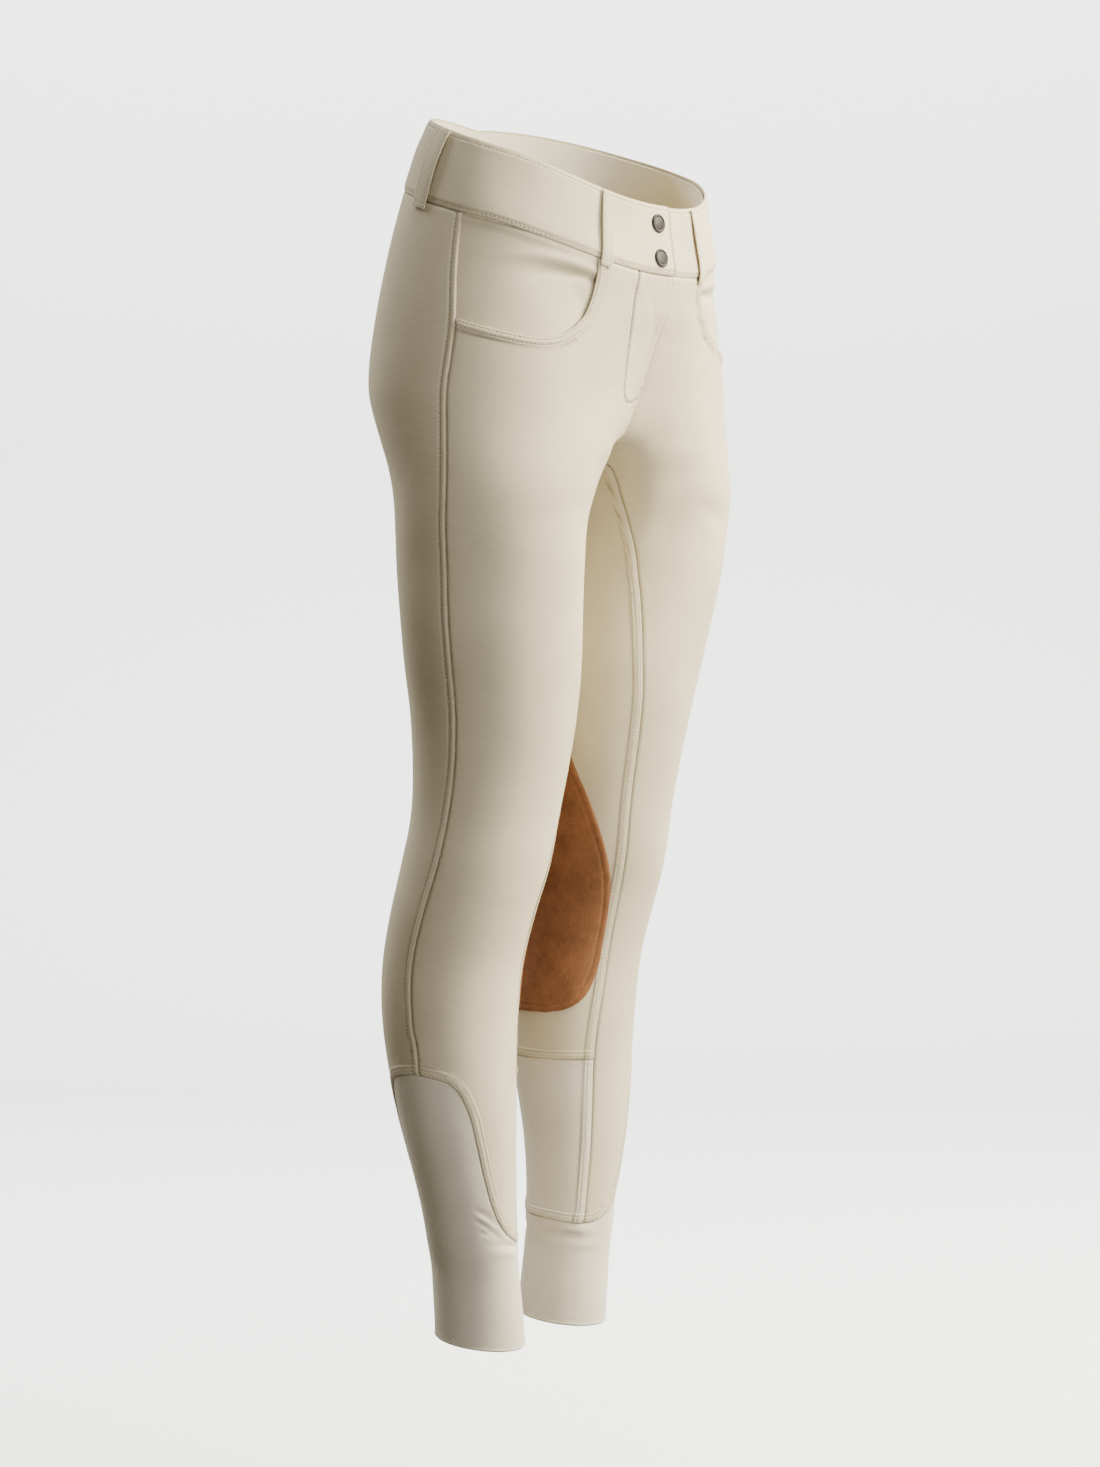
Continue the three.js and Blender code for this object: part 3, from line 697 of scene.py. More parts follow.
def front_grid():
    """Places of a front panel, and its cells that are cut away at the pocket."""
    heights = body_rows()
    levels = np.concatenate([heights, np.linspace(SHIN_TOP, SOCK_LEVEL, SHIN_ROWS + len(EDGE_STEPS))[1:]])
    start, end = inseam(levels), outseam(levels)
    even = mix(start, end, POCKET_SHARE)
    follow = 1 - smooth((POCKET_CORNER - levels) / 48)
    upright = mix(even, look(POCKET_UPRIGHT, "s", "t", levels), follow)
    scale = mm_per_t(mix(start, end, 0.5), levels)
    # Two strips with close columns on both sides of the fly's upright row of stitches
    fly = (look(FLY_UPRIGHT, "s", "t", levels) - start) / (upright - start)
    fly = mix(fly, 0.45, smooth((FLY_END - levels) / 60))[:, None]
    near = along_width((upright - start) * fly[:, 0] * scale, 6)
    beyond = along_width((upright - start) * (1 - fly[:, 0]) * scale, 8)
    inner = np.concatenate([near * fly, fly + beyond[:, 1:] * (1 - fly)], 1)
    outer = along_width((end - upright) * scale, 12)
    share = ((upright - start) / (end - start))[:, None]
    columns = np.concatenate([inner * share, share + outer[:, 1:] * (1 - share)], 1)
    columns = gathered(FRONT_CUTS, columns, levels[:, None])
    t = start[:, None] + columns * (end - start)[:, None]
    s = np.repeat(levels[:, None], t.shape[1], 1)
    pocket_column = inner.shape[1] - 1
    pocket_row = int(np.argmin(abs(levels - POCKET_CORNER)))
    lower = look(POCKET_LOWER, "t", "s", t) - POCKET_CORNER
    reach = 1 - smooth((POCKET_CORNER - levels) / 60)
    s[pocket_row:, pocket_column:] += (lower * reach[:, None])[pocket_row:, pocket_column:]
    shin, _ = shin_rows(t[-1])
    body = len(heights)
    for k in range(len(shin)):
        here = shin_rows(t[body + k])[0][k]
        s[body + k] = here
    keep = np.ones((t.shape[0] - 1, t.shape[1] - 1), bool)
    keep[:pocket_row, pocket_column:] = False
    return t, s, keep, pocket_row, pocket_column


def back_grid():
    """Places of a back panel, and its cells that are cut away for the calf panel."""
    heights = body_rows()
    body = len(heights)
    fall = SHIN_TOP - SOCK_LEVEL
    sample, calf_rows = shin_rows(np.array([CALF_BACK]), True)
    levels = np.concatenate([heights, [float(row[0]) for row in sample]])
    start, end = outseam(levels), 1 + inseam(levels)
    scale = mm_per_t(np.full(levels.shape, 0.75), levels)
    width = (end - start) * scale
    split = smooth((levels - CUTS_FROM) / (CALF_SEAM - CUTS_FROM))
    first_share = mix(CALF_SHARE, (CALF_BACK - start) / (end - start), split)
    first = along_width(width * first_share, 22)
    second = along_width(width * (1 - first_share), 14)
    first_t = start[:, None] + (end - start)[:, None] * first_share[:, None] * first
    pulled = start[:, None] + (CALF_BACK - start)[:, None] * gathered(BACK_CUTS, first, levels[:, None])
    first_t = mix(first_t, pulled, split[:, None])
    joint = first_t[:, -1:]
    t = np.concatenate([first_t, joint + (end[:, None] - joint) * second[:, 1:]], 1)
    s = np.repeat(levels[:, None], t.shape[1], 1)
    for k in range(len(sample)):
        s[body + k] = shin_rows(t[body + k], True)[0][k]
    calf_row, calf_column = body + calf_rows - 1, first.shape[1] - 1
    s[calf_row, calf_column:] = CALF_SEAM + HALF_GAP
    keep = np.ones((t.shape[0] - 1, t.shape[1] - 1), bool)
    keep[calf_row:, calf_column:] = False
    return t, s, keep, calf_row, calf_column


def calf_grid():
    levels = np.concatenate([CALF_SEAM - EDGE_STEPS, np.linspace(CALF_SEAM - EDGE_STEPS[-1], SOCK_LEVEL, 30)[1:]])
    start, end = np.full(levels.shape, CALF_BACK), 1 + inseam(levels)
    scale = mm_per_t(np.full(levels.shape, 0.95), levels)
    columns = along_width((end - start) * scale, 18)
    t = start[:, None] + (end - start)[:, None] * columns
    stop = sock_edge(t) + HALF_GAP
    top = CALF_SEAM - HALF_GAP
    rows = len(levels)
    share = along_width(np.full(rows, top - SOCK_LEVEL), rows - 2 * len(EDGE_STEPS) + 1)[0]
    return t, mix(top, stop, share[:, None])


def refined(cuts, times):
    marks = np.arange(len(cuts))
    return np.interp(np.linspace(0, len(cuts) - 1, (len(cuts) - 1) * times + 1), marks, cuts)


def sock_grid():
    calf = np.linspace(CALF_BACK, 1 + INSEAM["t"][-1], 36)
    around = np.concatenate([refined(FRONT_CUTS, 6), refined(BACK_CUTS, 6)[1:], calf[1:-1]])
    top = sock_edge(around) - HALF_GAP
    rows = [top - step for step in EDGE_STEPS]
    low = HEM + EDGE_STEPS[-1]
    rows += [mix(rows[len(EDGE_STEPS) - 1], low, k / SOCK_ROWS) for k in range(1, SOCK_ROWS + 1)]
    rows += [np.full(around.shape, HEM + step) for step in EDGE_STEPS[::-1][1:]]
    s = np.array(rows)
    return np.repeat(around[None, :], len(s), 0), s


def band_grid(start, end, top, bottom, across, columns):
    q = np.linspace(start, end, columns)
    depth = along_width(np.array([top - bottom]), across)[0]
    s = mix(top, bottom, depth)
    return np.repeat(q[None, :], len(s), 0), np.repeat(s[:, None], columns, 1)


def band_points(q, s, out):
    """Points round the whole waist. q runs from -1 at the centre front, by the right side, to 1."""
    past = abs(q) > 1
    t = np.where(past, abs(q) - 1, 1 - abs(q))
    side = np.where(q < 0, -1, 1) * np.where(past, -1, 1)
    p = form_point(t, s)
    p[..., 0] -= HALF_GAP
    p += form_normal(t, s) * np.asarray(out)[..., None]
    p[..., 0] *= side
    return p


def band_wave(q, s):
    """The band's slow uneven swell, in millimetres."""
    return 0.35 * np.sin(q * 17 + s / 30) + 0.25 * np.sin(q * 31 - s / 21)


def band_piece(name, q, s, out, thick, profiles, material):
    """A strip round the waist with its own edges: top, bottom and two ends."""
    base = band_points(q, s, np.zeros(q.shape))
    wave = band_wave(q, s)
    face = out + wave
    nearest = np.full(q.shape, 99.0)
    # hollow gathers how deep the grooves lie; the band's colour darkens with it as painted shade
    hollow = np.zeros(q.shape)
    lines = (base[0], base[-1], base[:, 0], base[:, -1])
    for line, profile in zip(lines, profiles):
        d = edge_distance(base, line)
        face = face + profile(d)
        nearest = np.minimum(nearest, d)
        hollow = np.maximum(hollow, hollow_at(d, profile))
    face = face + pucker(base, nearest) * 1.3
    inner = np.minimum(out + wave - thick, face - 0.6)
    verts = np.concatenate([band_points(q, s, depth).reshape(-1, 3) for depth in (face, inner)])
    rows, columns = q.shape
    faces = wall_faces(rows, columns, np.ones((rows - 1, columns - 1), bool), False, True)
    steps = np.linalg.norm(np.diff(base, axis=1), axis=-1)
    u = np.concatenate([np.zeros((rows, 1)), np.cumsum(steps, 1)], 1)
    uv = np.stack([u, s], -1).reshape(-1, 2)
    shade = hollow.ravel()
    return finish_mesh(
        name, verts, faces, material, np.concatenate([uv, uv]), np.concatenate([shade, shade])
    )


# Colours and materials

def linear(code):
    """An sRGB hex colour as Blender's linear numbers."""
    parts = [int(code[k : k + 2], 16) / 255 for k in (1, 3, 5)]
    return tuple(c / 12.92 if c <= 0.04045 else ((c + 0.055) / 1.055) ** 2.4 for c in parts) + (1.0,)


def put(tree, kind, values=None, links=None, **settings):
    """Adds a node with its settings, its unlinked values and the sockets that feed it."""
    node = tree.nodes.new(kind)
    for name, value in settings.items():
        setattr(node, name, value)
    for name, value in (values or {}).items():
        node.inputs[name].default_value = value
    for name, socket in (links or {}).items():
        tree.links.new(socket, node.inputs[name])
    return node


def new_material(name):
    old = bpy.data.materials.get(name)
    if old:
        return old, None
    material = bpy.data.materials.new(name)
    material.use_nodes = True
    material.node_tree.nodes.clear()
    return material, material.node_tree


def band_scale(period_mm):
    """A wave texture has 20 / (2 pi) bands in one unit at scale 1, and its unit here is a metre."""
    return 2 * math.pi / 20 / (period_mm * METRES)


def close(tree, shader):
    out = put(tree, "ShaderNodeOutputMaterial")
    tree.links.new(shader.outputs[0], out.inputs["Surface"])


def woven(name, pale, deep, rib_mm, rib_height, sheen, twill_turn):
    """Stretch cloth, woven or knitted: level ribs, a finer slanted twill, and a soft uneven tone."""
    material, tree = new_material(name)
    if tree is None:
        return material
    uv = put(tree, "ShaderNodeUVMap", uv_map="cloth").outputs[0]
    place = put(tree, "ShaderNodeTexCoord").outputs["Object"]
    ribs = put(
        tree,
        "ShaderNodeTexWave",
        {"Scale": band_scale(rib_mm), "Distortion": 1.2, "Detail": 2.0, "Detail Scale": 2.0},
        {"Vector": uv},
        bands_direction="Y",
    )
    slanted = put(tree, "ShaderNodeMapping", {"Rotation": (0, 0, math.radians(twill_turn))}, {"Vector": uv})
    twill = put(
        tree,
        "ShaderNodeTexWave",
        {"Scale": band_scale(rib_mm * 0.62), "Distortion": 0.8, "Detail": 1.0},
        {"Vector": slanted.outputs[0]},
        bands_direction="X",
    )
    # Slubs: yarns that run a few millimetres along the rib before they thin again
    stretched = put(tree, "ShaderNodeMapping", {"Scale": (90, 900, 1)}, {"Vector": uv})
    slub = put(tree, "ShaderNodeTexNoise", {"Scale": 1.0, "Detail": 3.0}, {"Vector": stretched.outputs[0]})
    cloud = put(tree, "ShaderNodeTexNoise", {"Scale": 14.0, "Detail": 4.0}, {"Vector": place})
    ribs_part = put(
        tree, "ShaderNodeMath", {1: 0.55}, {0: ribs.outputs["Fac"]}, operation="MULTIPLY"
    )
    twill_part = put(
        tree, "ShaderNodeMath", {1: 0.3}, {0: twill.outputs["Fac"]}, operation="MULTIPLY"
    )
    both = put(tree, "ShaderNodeMath", None, {0: ribs_part.outputs[0], 1: twill_part.outputs[0]}, operation="ADD")
    weave = put(tree, "ShaderNodeMath", None, {0: slub.outputs["Fac"], 1: both.outputs[0]}, operation="ADD")
    # Partly painted shade: the weave's low places are darkened in colour as shade falls in the rib and twill
    # valleys; the slubs' part is the yarn's own uneven tone
    shade = put(
        tree,
        "ShaderNodeMapRange",
        {"From Min": 0.3, "From Max": 1.4, "To Min": 0.4, "To Max": 0.0},
        {"Value": weave.outputs[0]},
    )
    drift = put(
        tree,
        "ShaderNodeMapRange",
        {"From Min": 0.35, "From Max": 0.7, "To Min": 0.0, "To Max": 0.3},
        {"Value": cloud.outputs["Fac"]},
    )
    total = put(
        tree, "ShaderNodeMath", None, {0: shade.outputs[0], 1: drift.outputs[0]}, operation="ADD", use_clamp=True
    )
    cloth = put(tree, "ShaderNodeMix", data_type="RGBA")
    cloth.inputs[6].default_value = linear(pale)
    cloth.inputs[7].default_value = linear(deep)
    tree.links.new(total.outputs[0], cloth.inputs[0])
    # Painted shade: the grooves of seams and stitch rows are darkened in colour, as shade falls in them
    hollow = put(tree, "ShaderNodeAttribute", attribute_name="hollow")
    groove_painted_shade = put(
        tree,
        "ShaderNodeMapRange",
        {"From Min": 0.03, "From Max": 0.5, "To Min": 0.0, "To Max": 0.7},
        {"Value": hollow.outputs["Fac"]},
    )
    colour = put(tree, "ShaderNodeMix", data_type="RGBA")
    tree.links.new(groove_painted_shade.outputs[0], colour.inputs[0])
    tree.links.new(cloth.outputs[2], colour.inputs[6])
    colour.inputs[7].default_value = linear("#857B66")
    bump = put(
        tree, "ShaderNodeBump", {"Strength": rib_height, "Distance": 0.0003}, {"Height": weave.outputs[0]}
    )
    shader = put(
        tree,
        "ShaderNodeBsdfPrincipled",
        {"Roughness": 0.88, "IOR": 1.46, "Sheen Weight": sheen, "Sheen Roughness": 0.45, "Specular IOR Level": 0.25},
        {"Base Color": colour.outputs[2], "Normal": bump.outputs[0]},
    )
    shader.inputs["Sheen Tint"].default_value = linear("#EBDFC2")
    close(tree, shader)
    return material


def stretch_twill():
    """Cotton and elastane bull-stretch twill, piece dyed: matt, pale, with fine level ribs."""
    return woven("stretch_twill", bpy.context.scene.breeches.cloth_colour, "#B4A98D", 1.5, 0.2, 0.1, 62)


def sock_knit():
    """Thin warp knit with much elastane: smoother and a little cooler than the twill."""
    return woven("sock_knit", "#E7DDC7", "#C1B69F", 1.3, 0.2, 0.15, 90)


def facing_twill():
    """The band's inner face, the wrong side of the same twill: paler and hairier."""
    return woven("facing_twill", "#E4DDCC", "#C6BDA8", 1.5, 0.2, 0.15, 118)


def suede_nap():
    """Split leather, sanded to a nap: no gloss, a soft bright rim, and patches where the nap lies over."""
    material, tree = new_material("suede_nap")
    if tree is None:
        return material
    place = put(tree, "ShaderNodeTexCoord").outputs["Object"]
    # Nap fibres clump about 1.2 mm apart, drawn a little coarser than real so that they show
    nap = put(tree, "ShaderNodeTexNoise", {"Scale": 820.0, "Detail": 5.0, "Roughness": 0.7}, {"Vector": place})
    brushed = put(tree, "ShaderNodeTexNoise", {"Scale": 60.0, "Detail": 4.0, "Roughness": 0.6}, {"Vector": place})
    both = put(tree, "ShaderNodeMath", None, {0: nap.outputs["Fac"], 1: brushed.outputs["Fac"]}, operation="ADD")
    tone = put(
        tree,
        "ShaderNodeMapRange",
        {"From Min": 0.75, "From Max": 1.25, "To Min": 0.0, "To Max": 1.0},
        {"Value": both.outputs[0]},
    )
    colour = put(tree, "ShaderNodeMix", data_type="RGBA")
    colour.inputs[6].default_value = linear("#785236")
    colour.inputs[7].default_value = linear(bpy.context.scene.breeches.suede_colour)
    tree.links.new(tone.outputs[0], colour.inputs[0])
    bump = put(tree, "ShaderNodeBump", {"Strength": 0.5, "Distance": 0.0004}, {"Height": nap.outputs["Fac"]})
    shader = put(
        tree,
        "ShaderNodeBsdfPrincipled",
        {"Roughness": 0.95, "IOR": 1.5, "Sheen Weight": 0.25, "Sheen Roughness": 0.4, "Specular IOR Level": 0.15},
        {"Base Color": colour.outputs[2], "Normal": bump.outputs[0]},
    )
    shader.inputs["Sheen Tint"].default_value = linear("#C08050")
    close(tree, shader)
    return material


def antique_pewter():
    """Zinc alloy, pressed, plated dark and rubbed back: grey in the hollows, lighter where worn."""
    material, tree = new_material("antique_pewter")
    if tree is None:
        return material
    place = put(tree, "ShaderNodeTexCoord").outputs["Object"]
    grain = put(tree, "ShaderNodeTexNoise", {"Scale": 900.0, "Detail": 3.0}, {"Vector": place})
    shape = put(tree, "ShaderNodeNewGeometry")
    edge = put(
        tree,
        "ShaderNodeMapRange",
        {"From Min": 0.5, "From Max": 0.62, "To Min": 0.0, "To Max": 1.0},
        {"Value": shape.outputs["Pointiness"]},
    )
    colour = put(tree, "ShaderNodeMix", data_type="RGBA")
    colour.inputs[6].default_value = linear("#24201D")
    colour.inputs[7].default_value = linear("#5C554D")
    tree.links.new(edge.outputs[0], colour.inputs[0])
    bump = put(tree, "ShaderNodeBump", {"Strength": 0.3, "Distance": 0.0002}, {"Height": grain.outputs["Fac"]})
    shader = put(
        tree,
        "ShaderNodeBsdfPrincipled",
        {"Metallic": 0.6, "Roughness": 0.5},
        {"Base Color": colour.outputs[2], "Normal": bump.outputs[0]},
    )
    close(tree, shader)
    return material


def sewing_thread(name, code, second):
    """Spun polyester thread, a shade off the cloth: dull, with its twist too fine to show."""
    material, tree = new_material(name)
    if tree is None:
        return material
    place = put(tree, "ShaderNodeTexCoord").outputs["Object"]
    fuzz = put(tree, "ShaderNodeTexNoise", {"Scale": 300.0, "Detail": 2.0}, {"Vector": place})
    colour = put(tree, "ShaderNodeMix", data_type="RGBA")
    colour.inputs[6].default_value = linear(code)
    colour.inputs[7].default_value = linear(second)
    tree.links.new(fuzz.outputs["Fac"], colour.inputs[0])
    shader = put(
        tree,
        "ShaderNodeBsdfPrincipled",
        {"Roughness": 0.7, "Sheen Weight": 0.2},
        {"Base Color": colour.outputs[2]},
    )
    close(tree, shader)
    return material


# Rows of stitches

def stitch_tree():
    """Sets a stitch at every pitch along a line of edges."""
    tree = bpy.data.node_groups.get("Stitch row")
    if tree:
        return tree
    tree = bpy.data.node_groups.new("Stitch row", "GeometryNodeTree")
    sockets = tree.interface
    sockets.new_socket("Line", in_out="INPUT", socket_type="NodeSocketGeometry")
    for name in ("Pitch", "Stitch length", "Thread thickness"):
        sockets.new_socket(name, in_out="INPUT", socket_type="NodeSocketFloat")
    sockets.new_socket("Thread", in_out="INPUT", socket_type="NodeSocketMaterial")
    sockets.new_socket("Stitches", in_out="OUTPUT", socket_type="NodeSocketGeometry")
    given = put(tree, "NodeGroupInput").outputs
    curve = put(tree, "GeometryNodeMeshToCurve", None, {"Mesh": given["Line"]})
    even = put(
        tree, "GeometryNodeResampleCurve", None, {"Curve": curve.outputs[0], "Length": given["Pitch"]}, mode="LENGTH"
    )
    tangent = put(tree, "GeometryNodeInputTangent")
    turn = put(tree, "FunctionNodeAlignRotationToVector", None, {"Vector": tangent.outputs[0]}, axis="Z")
    bead = put(tree, "GeometryNodeMeshUVSphere", {"Segments": 6, "Rings": 4, "Radius": 0.5})
    flatter = put(
        tree,
        "ShaderNodeCombineXYZ",
        None,
        {"X": given["Thread thickness"], "Y": given["Thread thickness"], "Z": given["Stitch length"]},
    )
    stitch = put(
        tree, "GeometryNodeTransform", None, {"Geometry": bead.outputs["Mesh"], "Scale": flatter.outputs[0]}
    )
    uneven = put(tree, "FunctionNodeRandomValue", {2: 0.88, 3: 1.08, "Seed": 7})
    row = put(
        tree,
        "GeometryNodeInstanceOnPoints",
        None,
        {
            "Points": even.outputs[0],
            "Instance": stitch.outputs[0],
            "Rotation": turn.outputs[0],
            "Scale": uneven.outputs[1],
        },
    )
    real = put(tree, "GeometryNodeRealizeInstances", None, {0: row.outputs[0]})
    soft = put(tree, "GeometryNodeSetShadeSmooth", None, {0: real.outputs[0]})
    done = put(tree, "GeometryNodeSetMaterial", None, {"Geometry": soft.outputs[0], "Material": given["Thread"]})
    out = put(tree, "NodeGroupOutput")
    tree.links.new(done.outputs[0], out.inputs[0])
    return tree


def stitch_piece(name, lines, material, pitch, length, thickness, slot="breech_cloth"):
    """Lays stitches along lines given in millimetres, as one plain mesh."""
    verts, edges = [], []
    for line in lines:
        start = len(verts)
        verts.extend((np.asarray(line) * METRES).tolist())
        edges.extend((start + k, start + k + 1) for k in range(len(line) - 1))
    mesh = bpy.data.meshes.new(name + "_line")
    mesh.from_pydata(verts, edges, [])
    guide = bpy.data.objects.new(name + "_line", mesh)
    bpy.context.collection.objects.link(guide)
    tree = stitch_tree()
    modifier = guide.modifiers.new("Stitches", "NODES")
    modifier.node_group = tree
    values = {
        "Pitch": pitch * METRES,
        "Stitch length": length * METRES,
        "Thread thickness": thickness * METRES,
        "Thread": material,
    }
    for item in tree.interface.items_tree:
        if item.in_out == "INPUT" and item.name in values:
            modifier[item.identifier] = values[item.name]
    guide.update_tag()
    graph = bpy.context.evaluated_depsgraph_get()
    made = bpy.data.meshes.new_from_object(guide.evaluated_get(graph), depsgraph=graph)
    made.name = name
    piece = bpy.data.objects.new(name, made)
    bpy.context.collection.objects.link(piece)
    guide.modifiers.clear()
    bpy.data.objects.remove(guide)
    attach(piece, "root")
    return piece


def shifted(t, s, distance):
    """Moves a line of places sideways over the form by a distance in millimetres."""
    scale = mm_per_t(t, s)
    along_t = np.gradient(t) * scale
    along_s = np.gradient(s)
    size = np.maximum(np.hypot(along_t, along_s), 1e-9)
    return t - along_s / size * distance / scale, s + along_t / size * distance


def sewn(t, s, side, out):
    """Points of a stitch row that lies so far out of the form."""
    t, s = np.broadcast_arrays(np.asarray(t, float), np.asarray(s, float))
    around = np.where(t < 0, t + 1, t)
    place = worn(around, s, side)
    p = form_point(place, s) + form_normal(place, s) * (out + crease_height(around, s, side))[..., None]
    p[..., 0] = np.maximum(HALF_GAP, p[..., 0]) * side
    return p


def seam_rows(side):
    """The stitch rows of one half: side seam, inseam, rise, pocket, sock edge and calf panel."""
    raised = LAP_RISE - STITCH_DENT + 0.15
    rows = []
    s = np.arange(BAND_SEAM - 1, -704, -3.0)
    t = outseam(s)
    rows.append(sewn(t + FAR_ROW / mm_per_t(t, s), s, side, -0.35))
    s = np.arange(-226, -841, -3.0)
    t = 1 + inseam(s)
    scale = mm_per_t(t - 1, s)
    for step in (NEAR_ROW, FAR_ROW):
        rows.append(sewn(t - step / scale, s, side, raised))
    s = np.arange(BAND_SEAM - 1, CROTCH + 10, -3.0)
    for step in (NEAR_ROW, FAR_ROW):
        if side > 0:
            rows.append(sewn(1 - step / mm_per_t(np.full(s.shape, 0.99), s), s, side, raised))
        else:
            low = np.arange(FLY_END - 6, CROTCH + 8, -2.0)
            rows.append(sewn(step / mm_per_t(np.full(low.shape, 0.01), low), low, side, raised))
    upright = np.linspace(BAND_SEAM, POCKET_CORNER, 30)
    lower = np.linspace(POCKET_UPRIGHT["t"][-1], outseam(np.array(-114.0)) - 0.004, 40)
    t = np.concatenate([look(POCKET_UPRIGHT, "s", "t", upright), lower[1:]])
    s = np.concatenate([upright, look(POCKET_LOWER, "t", "s", lower[1:])])
    for step in (NEAR_ROW, FAR_ROW):
        rows.append(sewn(*shifted(t, s, -step), side, 0.8))
    t = np.concatenate([refined(FRONT_CUTS, 8), refined(BACK_CUTS, 8)[1:], np.linspace(CALF_BACK, 1.133, 40)[1:]])
    for step in (NEAR_ROW, FAR_ROW):
        rows.append(sewn(*shifted(t, sock_edge(t), step), side, raised))
    t = np.linspace(CALF_BACK + 0.005, 1.145, 40)
    rows.append(sewn(t, np.full(t.shape, CALF_SEAM + NEAR_ROW), side, raised))
    s = np.arange(CALF_SEAM, -842, -3.0)
    t = np.full(s.shape, CALF_BACK)
    rows.append(sewn(t - NEAR_ROW / mm_per_t(t, s), s, side, raised))
    return rows


def fly_line():
    """The fly's row of stitches, which turns in to the centre front at its lower end."""
    s = np.linspace(BAND_SEAM, -156, 60)
    k = np.linspace(0, 7, 50)[1:]
    t = np.concatenate([look(FLY_UPRIGHT, "s", "t", s), look(FLY_HOOK, "k", "t", k)])
    return t, np.concatenate([s, look(FLY_HOOK, "k", "s", k)])


def patch_places(inset):
    """The outline of the knee patch, moved in by so many millimetres."""
    s = np.concatenate([np.linspace(-425, -660, 70), np.linspace(-662, -672, 12)])
    half = look(PATCH, "s", "half", s)
    t = np.concatenate([PATCH_MIDDLE + half, (PATCH_MIDDLE - half)[::-1]])
    s = np.concatenate([s, s[::-1]])
    return shifted(t, s, -inset)


def declare(node):
    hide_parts(node)


class BreechesSettings(bpy.types.PropertyGroup):
    cloth_colour: bpy.props.StringProperty(
        name="Cloth colour", description="sRGB hex colour of the twill", default="#DBCEAF"
    )
    suede_colour: bpy.props.StringProperty(
        name="Suede colour", description="sRGB hex colour of the knee patches", default="#986845"
    )
    cloth_thickness: bpy.props.FloatProperty(
        name="Cloth thickness", description="Millimetres of one layer of twill", default=1.0, min=0.5, max=3
    )
    crease_strength: bpy.props.FloatProperty(
        name="Crease strength", description="How deep the hand-laid creases are", default=1.0, subtype="FACTOR"
    )
    stitch_pitch: bpy.props.FloatProperty(
        name="Stitch pitch", description="Millimetres from stitch to stitch", default=3.4, min=1, max=10
    )
    stitch_length: bpy.props.FloatProperty(
        name="Stitch length", description="Millimetres of thread that show", default=2.2, min=0.5, max=9
    )
    thread_thickness: bpy.props.FloatProperty(
        name="Thread thickness", description="Millimetres across the thread", default=0.7, min=0.1, max=2
    )


class StudioSettings(bpy.types.PropertyGroup):
    key_power: bpy.props.FloatProperty(
        name="Key light", description="Power of the large soft light", default=262.0, unit="POWER"
    )
    paper_power: bpy.props.FloatProperty(
        name="Paper lights", description="Power of each light on the backdrop", default=340.0, unit="POWER"
    )
    room_light: bpy.props.FloatProperty(
        name="Room light", description="Strength of the light from all round", default=0.17
    )


class BREECHES_OT_fronts(bpy.types.Operator):
    """Two front panels, cut away at the pocket"""

    bl_idname = "breeches.fronts"
    bl_label = "Front panels"

    def execute(self, context):
        t, s, keep, row, column = front_grid()
        thick = context.scene.breeches.cloth_thickness
        for hand, side in (("right", -1), ("left", 1)):
            crotch = int(np.argmin(abs(s[:, 0] - CROTCH)))
            fly = int(np.argmin(abs(s[:, 0] - FLY_END)))
            fly_stitches = form_point(*fly_line())
            edges = [
                (lambda p: p[0, : column + 1], under),
                (lambda p: p[: fly + 1, 0], fly_edge if side < 0 else flush),
                (lambda p: p[fly : crotch + 1, 0], flush),
                (lambda p: np.concatenate([p[: row + 1, column], p[row, column + 1 :]]), pocket_edge),
                (lambda p: p[row:, -1], under),
                (lambda p: p[crotch:, 0], under),
                (lambda p: p[-1], lap),
            ]
            if side < 0:
                edges.append((lambda p: fly_stitches, ditch))
            name = f"front_{hand}"
            piece = cloth_piece(
                name + "_cloth", t, s, side, 0, thick, edges, stretch_twill(), keep=keep
            )
            declare(name)
        return {"FINISHED"}


class BREECHES_OT_backs(bpy.types.Operator):
    """Two back panels, each wrapped round to the inseam"""

    bl_idname = "breeches.backs"
    bl_label = "Back panels"

    def execute(self, context):
        t, s, keep, row, column = back_grid()
        thick = context.scene.breeches.cloth_thickness
        for hand, side in (("right", -1), ("left", 1)):
            crotch = int(np.argmin(abs(s[:, -1] - CROTCH)))
            edges = [
                (lambda p: p[0], under),
                (lambda p: p[:, 0], ridge),
                (lambda p: p[: crotch + 1, -1], lap if side > 0 else under),
                (lambda p: p[crotch : row + 1, -1], lap),
                (lambda p: p[row, column:], lap),
                (lambda p: p[row:, column], lap),
                (lambda p: p[-1, : column + 1], lap),
            ]
            name = f"back_{hand}"
            piece = cloth_piece(
                name + "_cloth", t, s, side, 0, thick, edges, stretch_twill(), keep=keep
            )
            declare(name)
        return {"FINISHED"}


class BREECHES_OT_bearers(bpy.types.Operator):
    """The cloth inside each pocket opening, with a soft roll below the waistband"""

    bl_idname = "breeches.bearers"
    bl_label = "Pocket bearers"

    def execute(self, context):
        s = np.linspace(BAND_SEAM - HALF_GAP, BEARER_END, 44)
        share = np.linspace(0, 1, 48)
        end = outseam(s) + 0.012
        t = BEARER_INNER + (end - BEARER_INNER)[:, None] * share[None, :]
        s = np.repeat(s[:, None], 48, 1)
        for hand, side in (("right", -1), ("left", 1)):
            edges = [(lambda p: p[0], sewn_in), (lambda p: p[:, -1], under)]
            name = f"pocket_bearer_{hand}"
            piece = cloth_piece(
                name + "_cloth", t, s, side, -2.1, 0.9, edges, stretch_twill(), creases=ROLLS
            )
            declare(name)
        return {"FINISHED"}


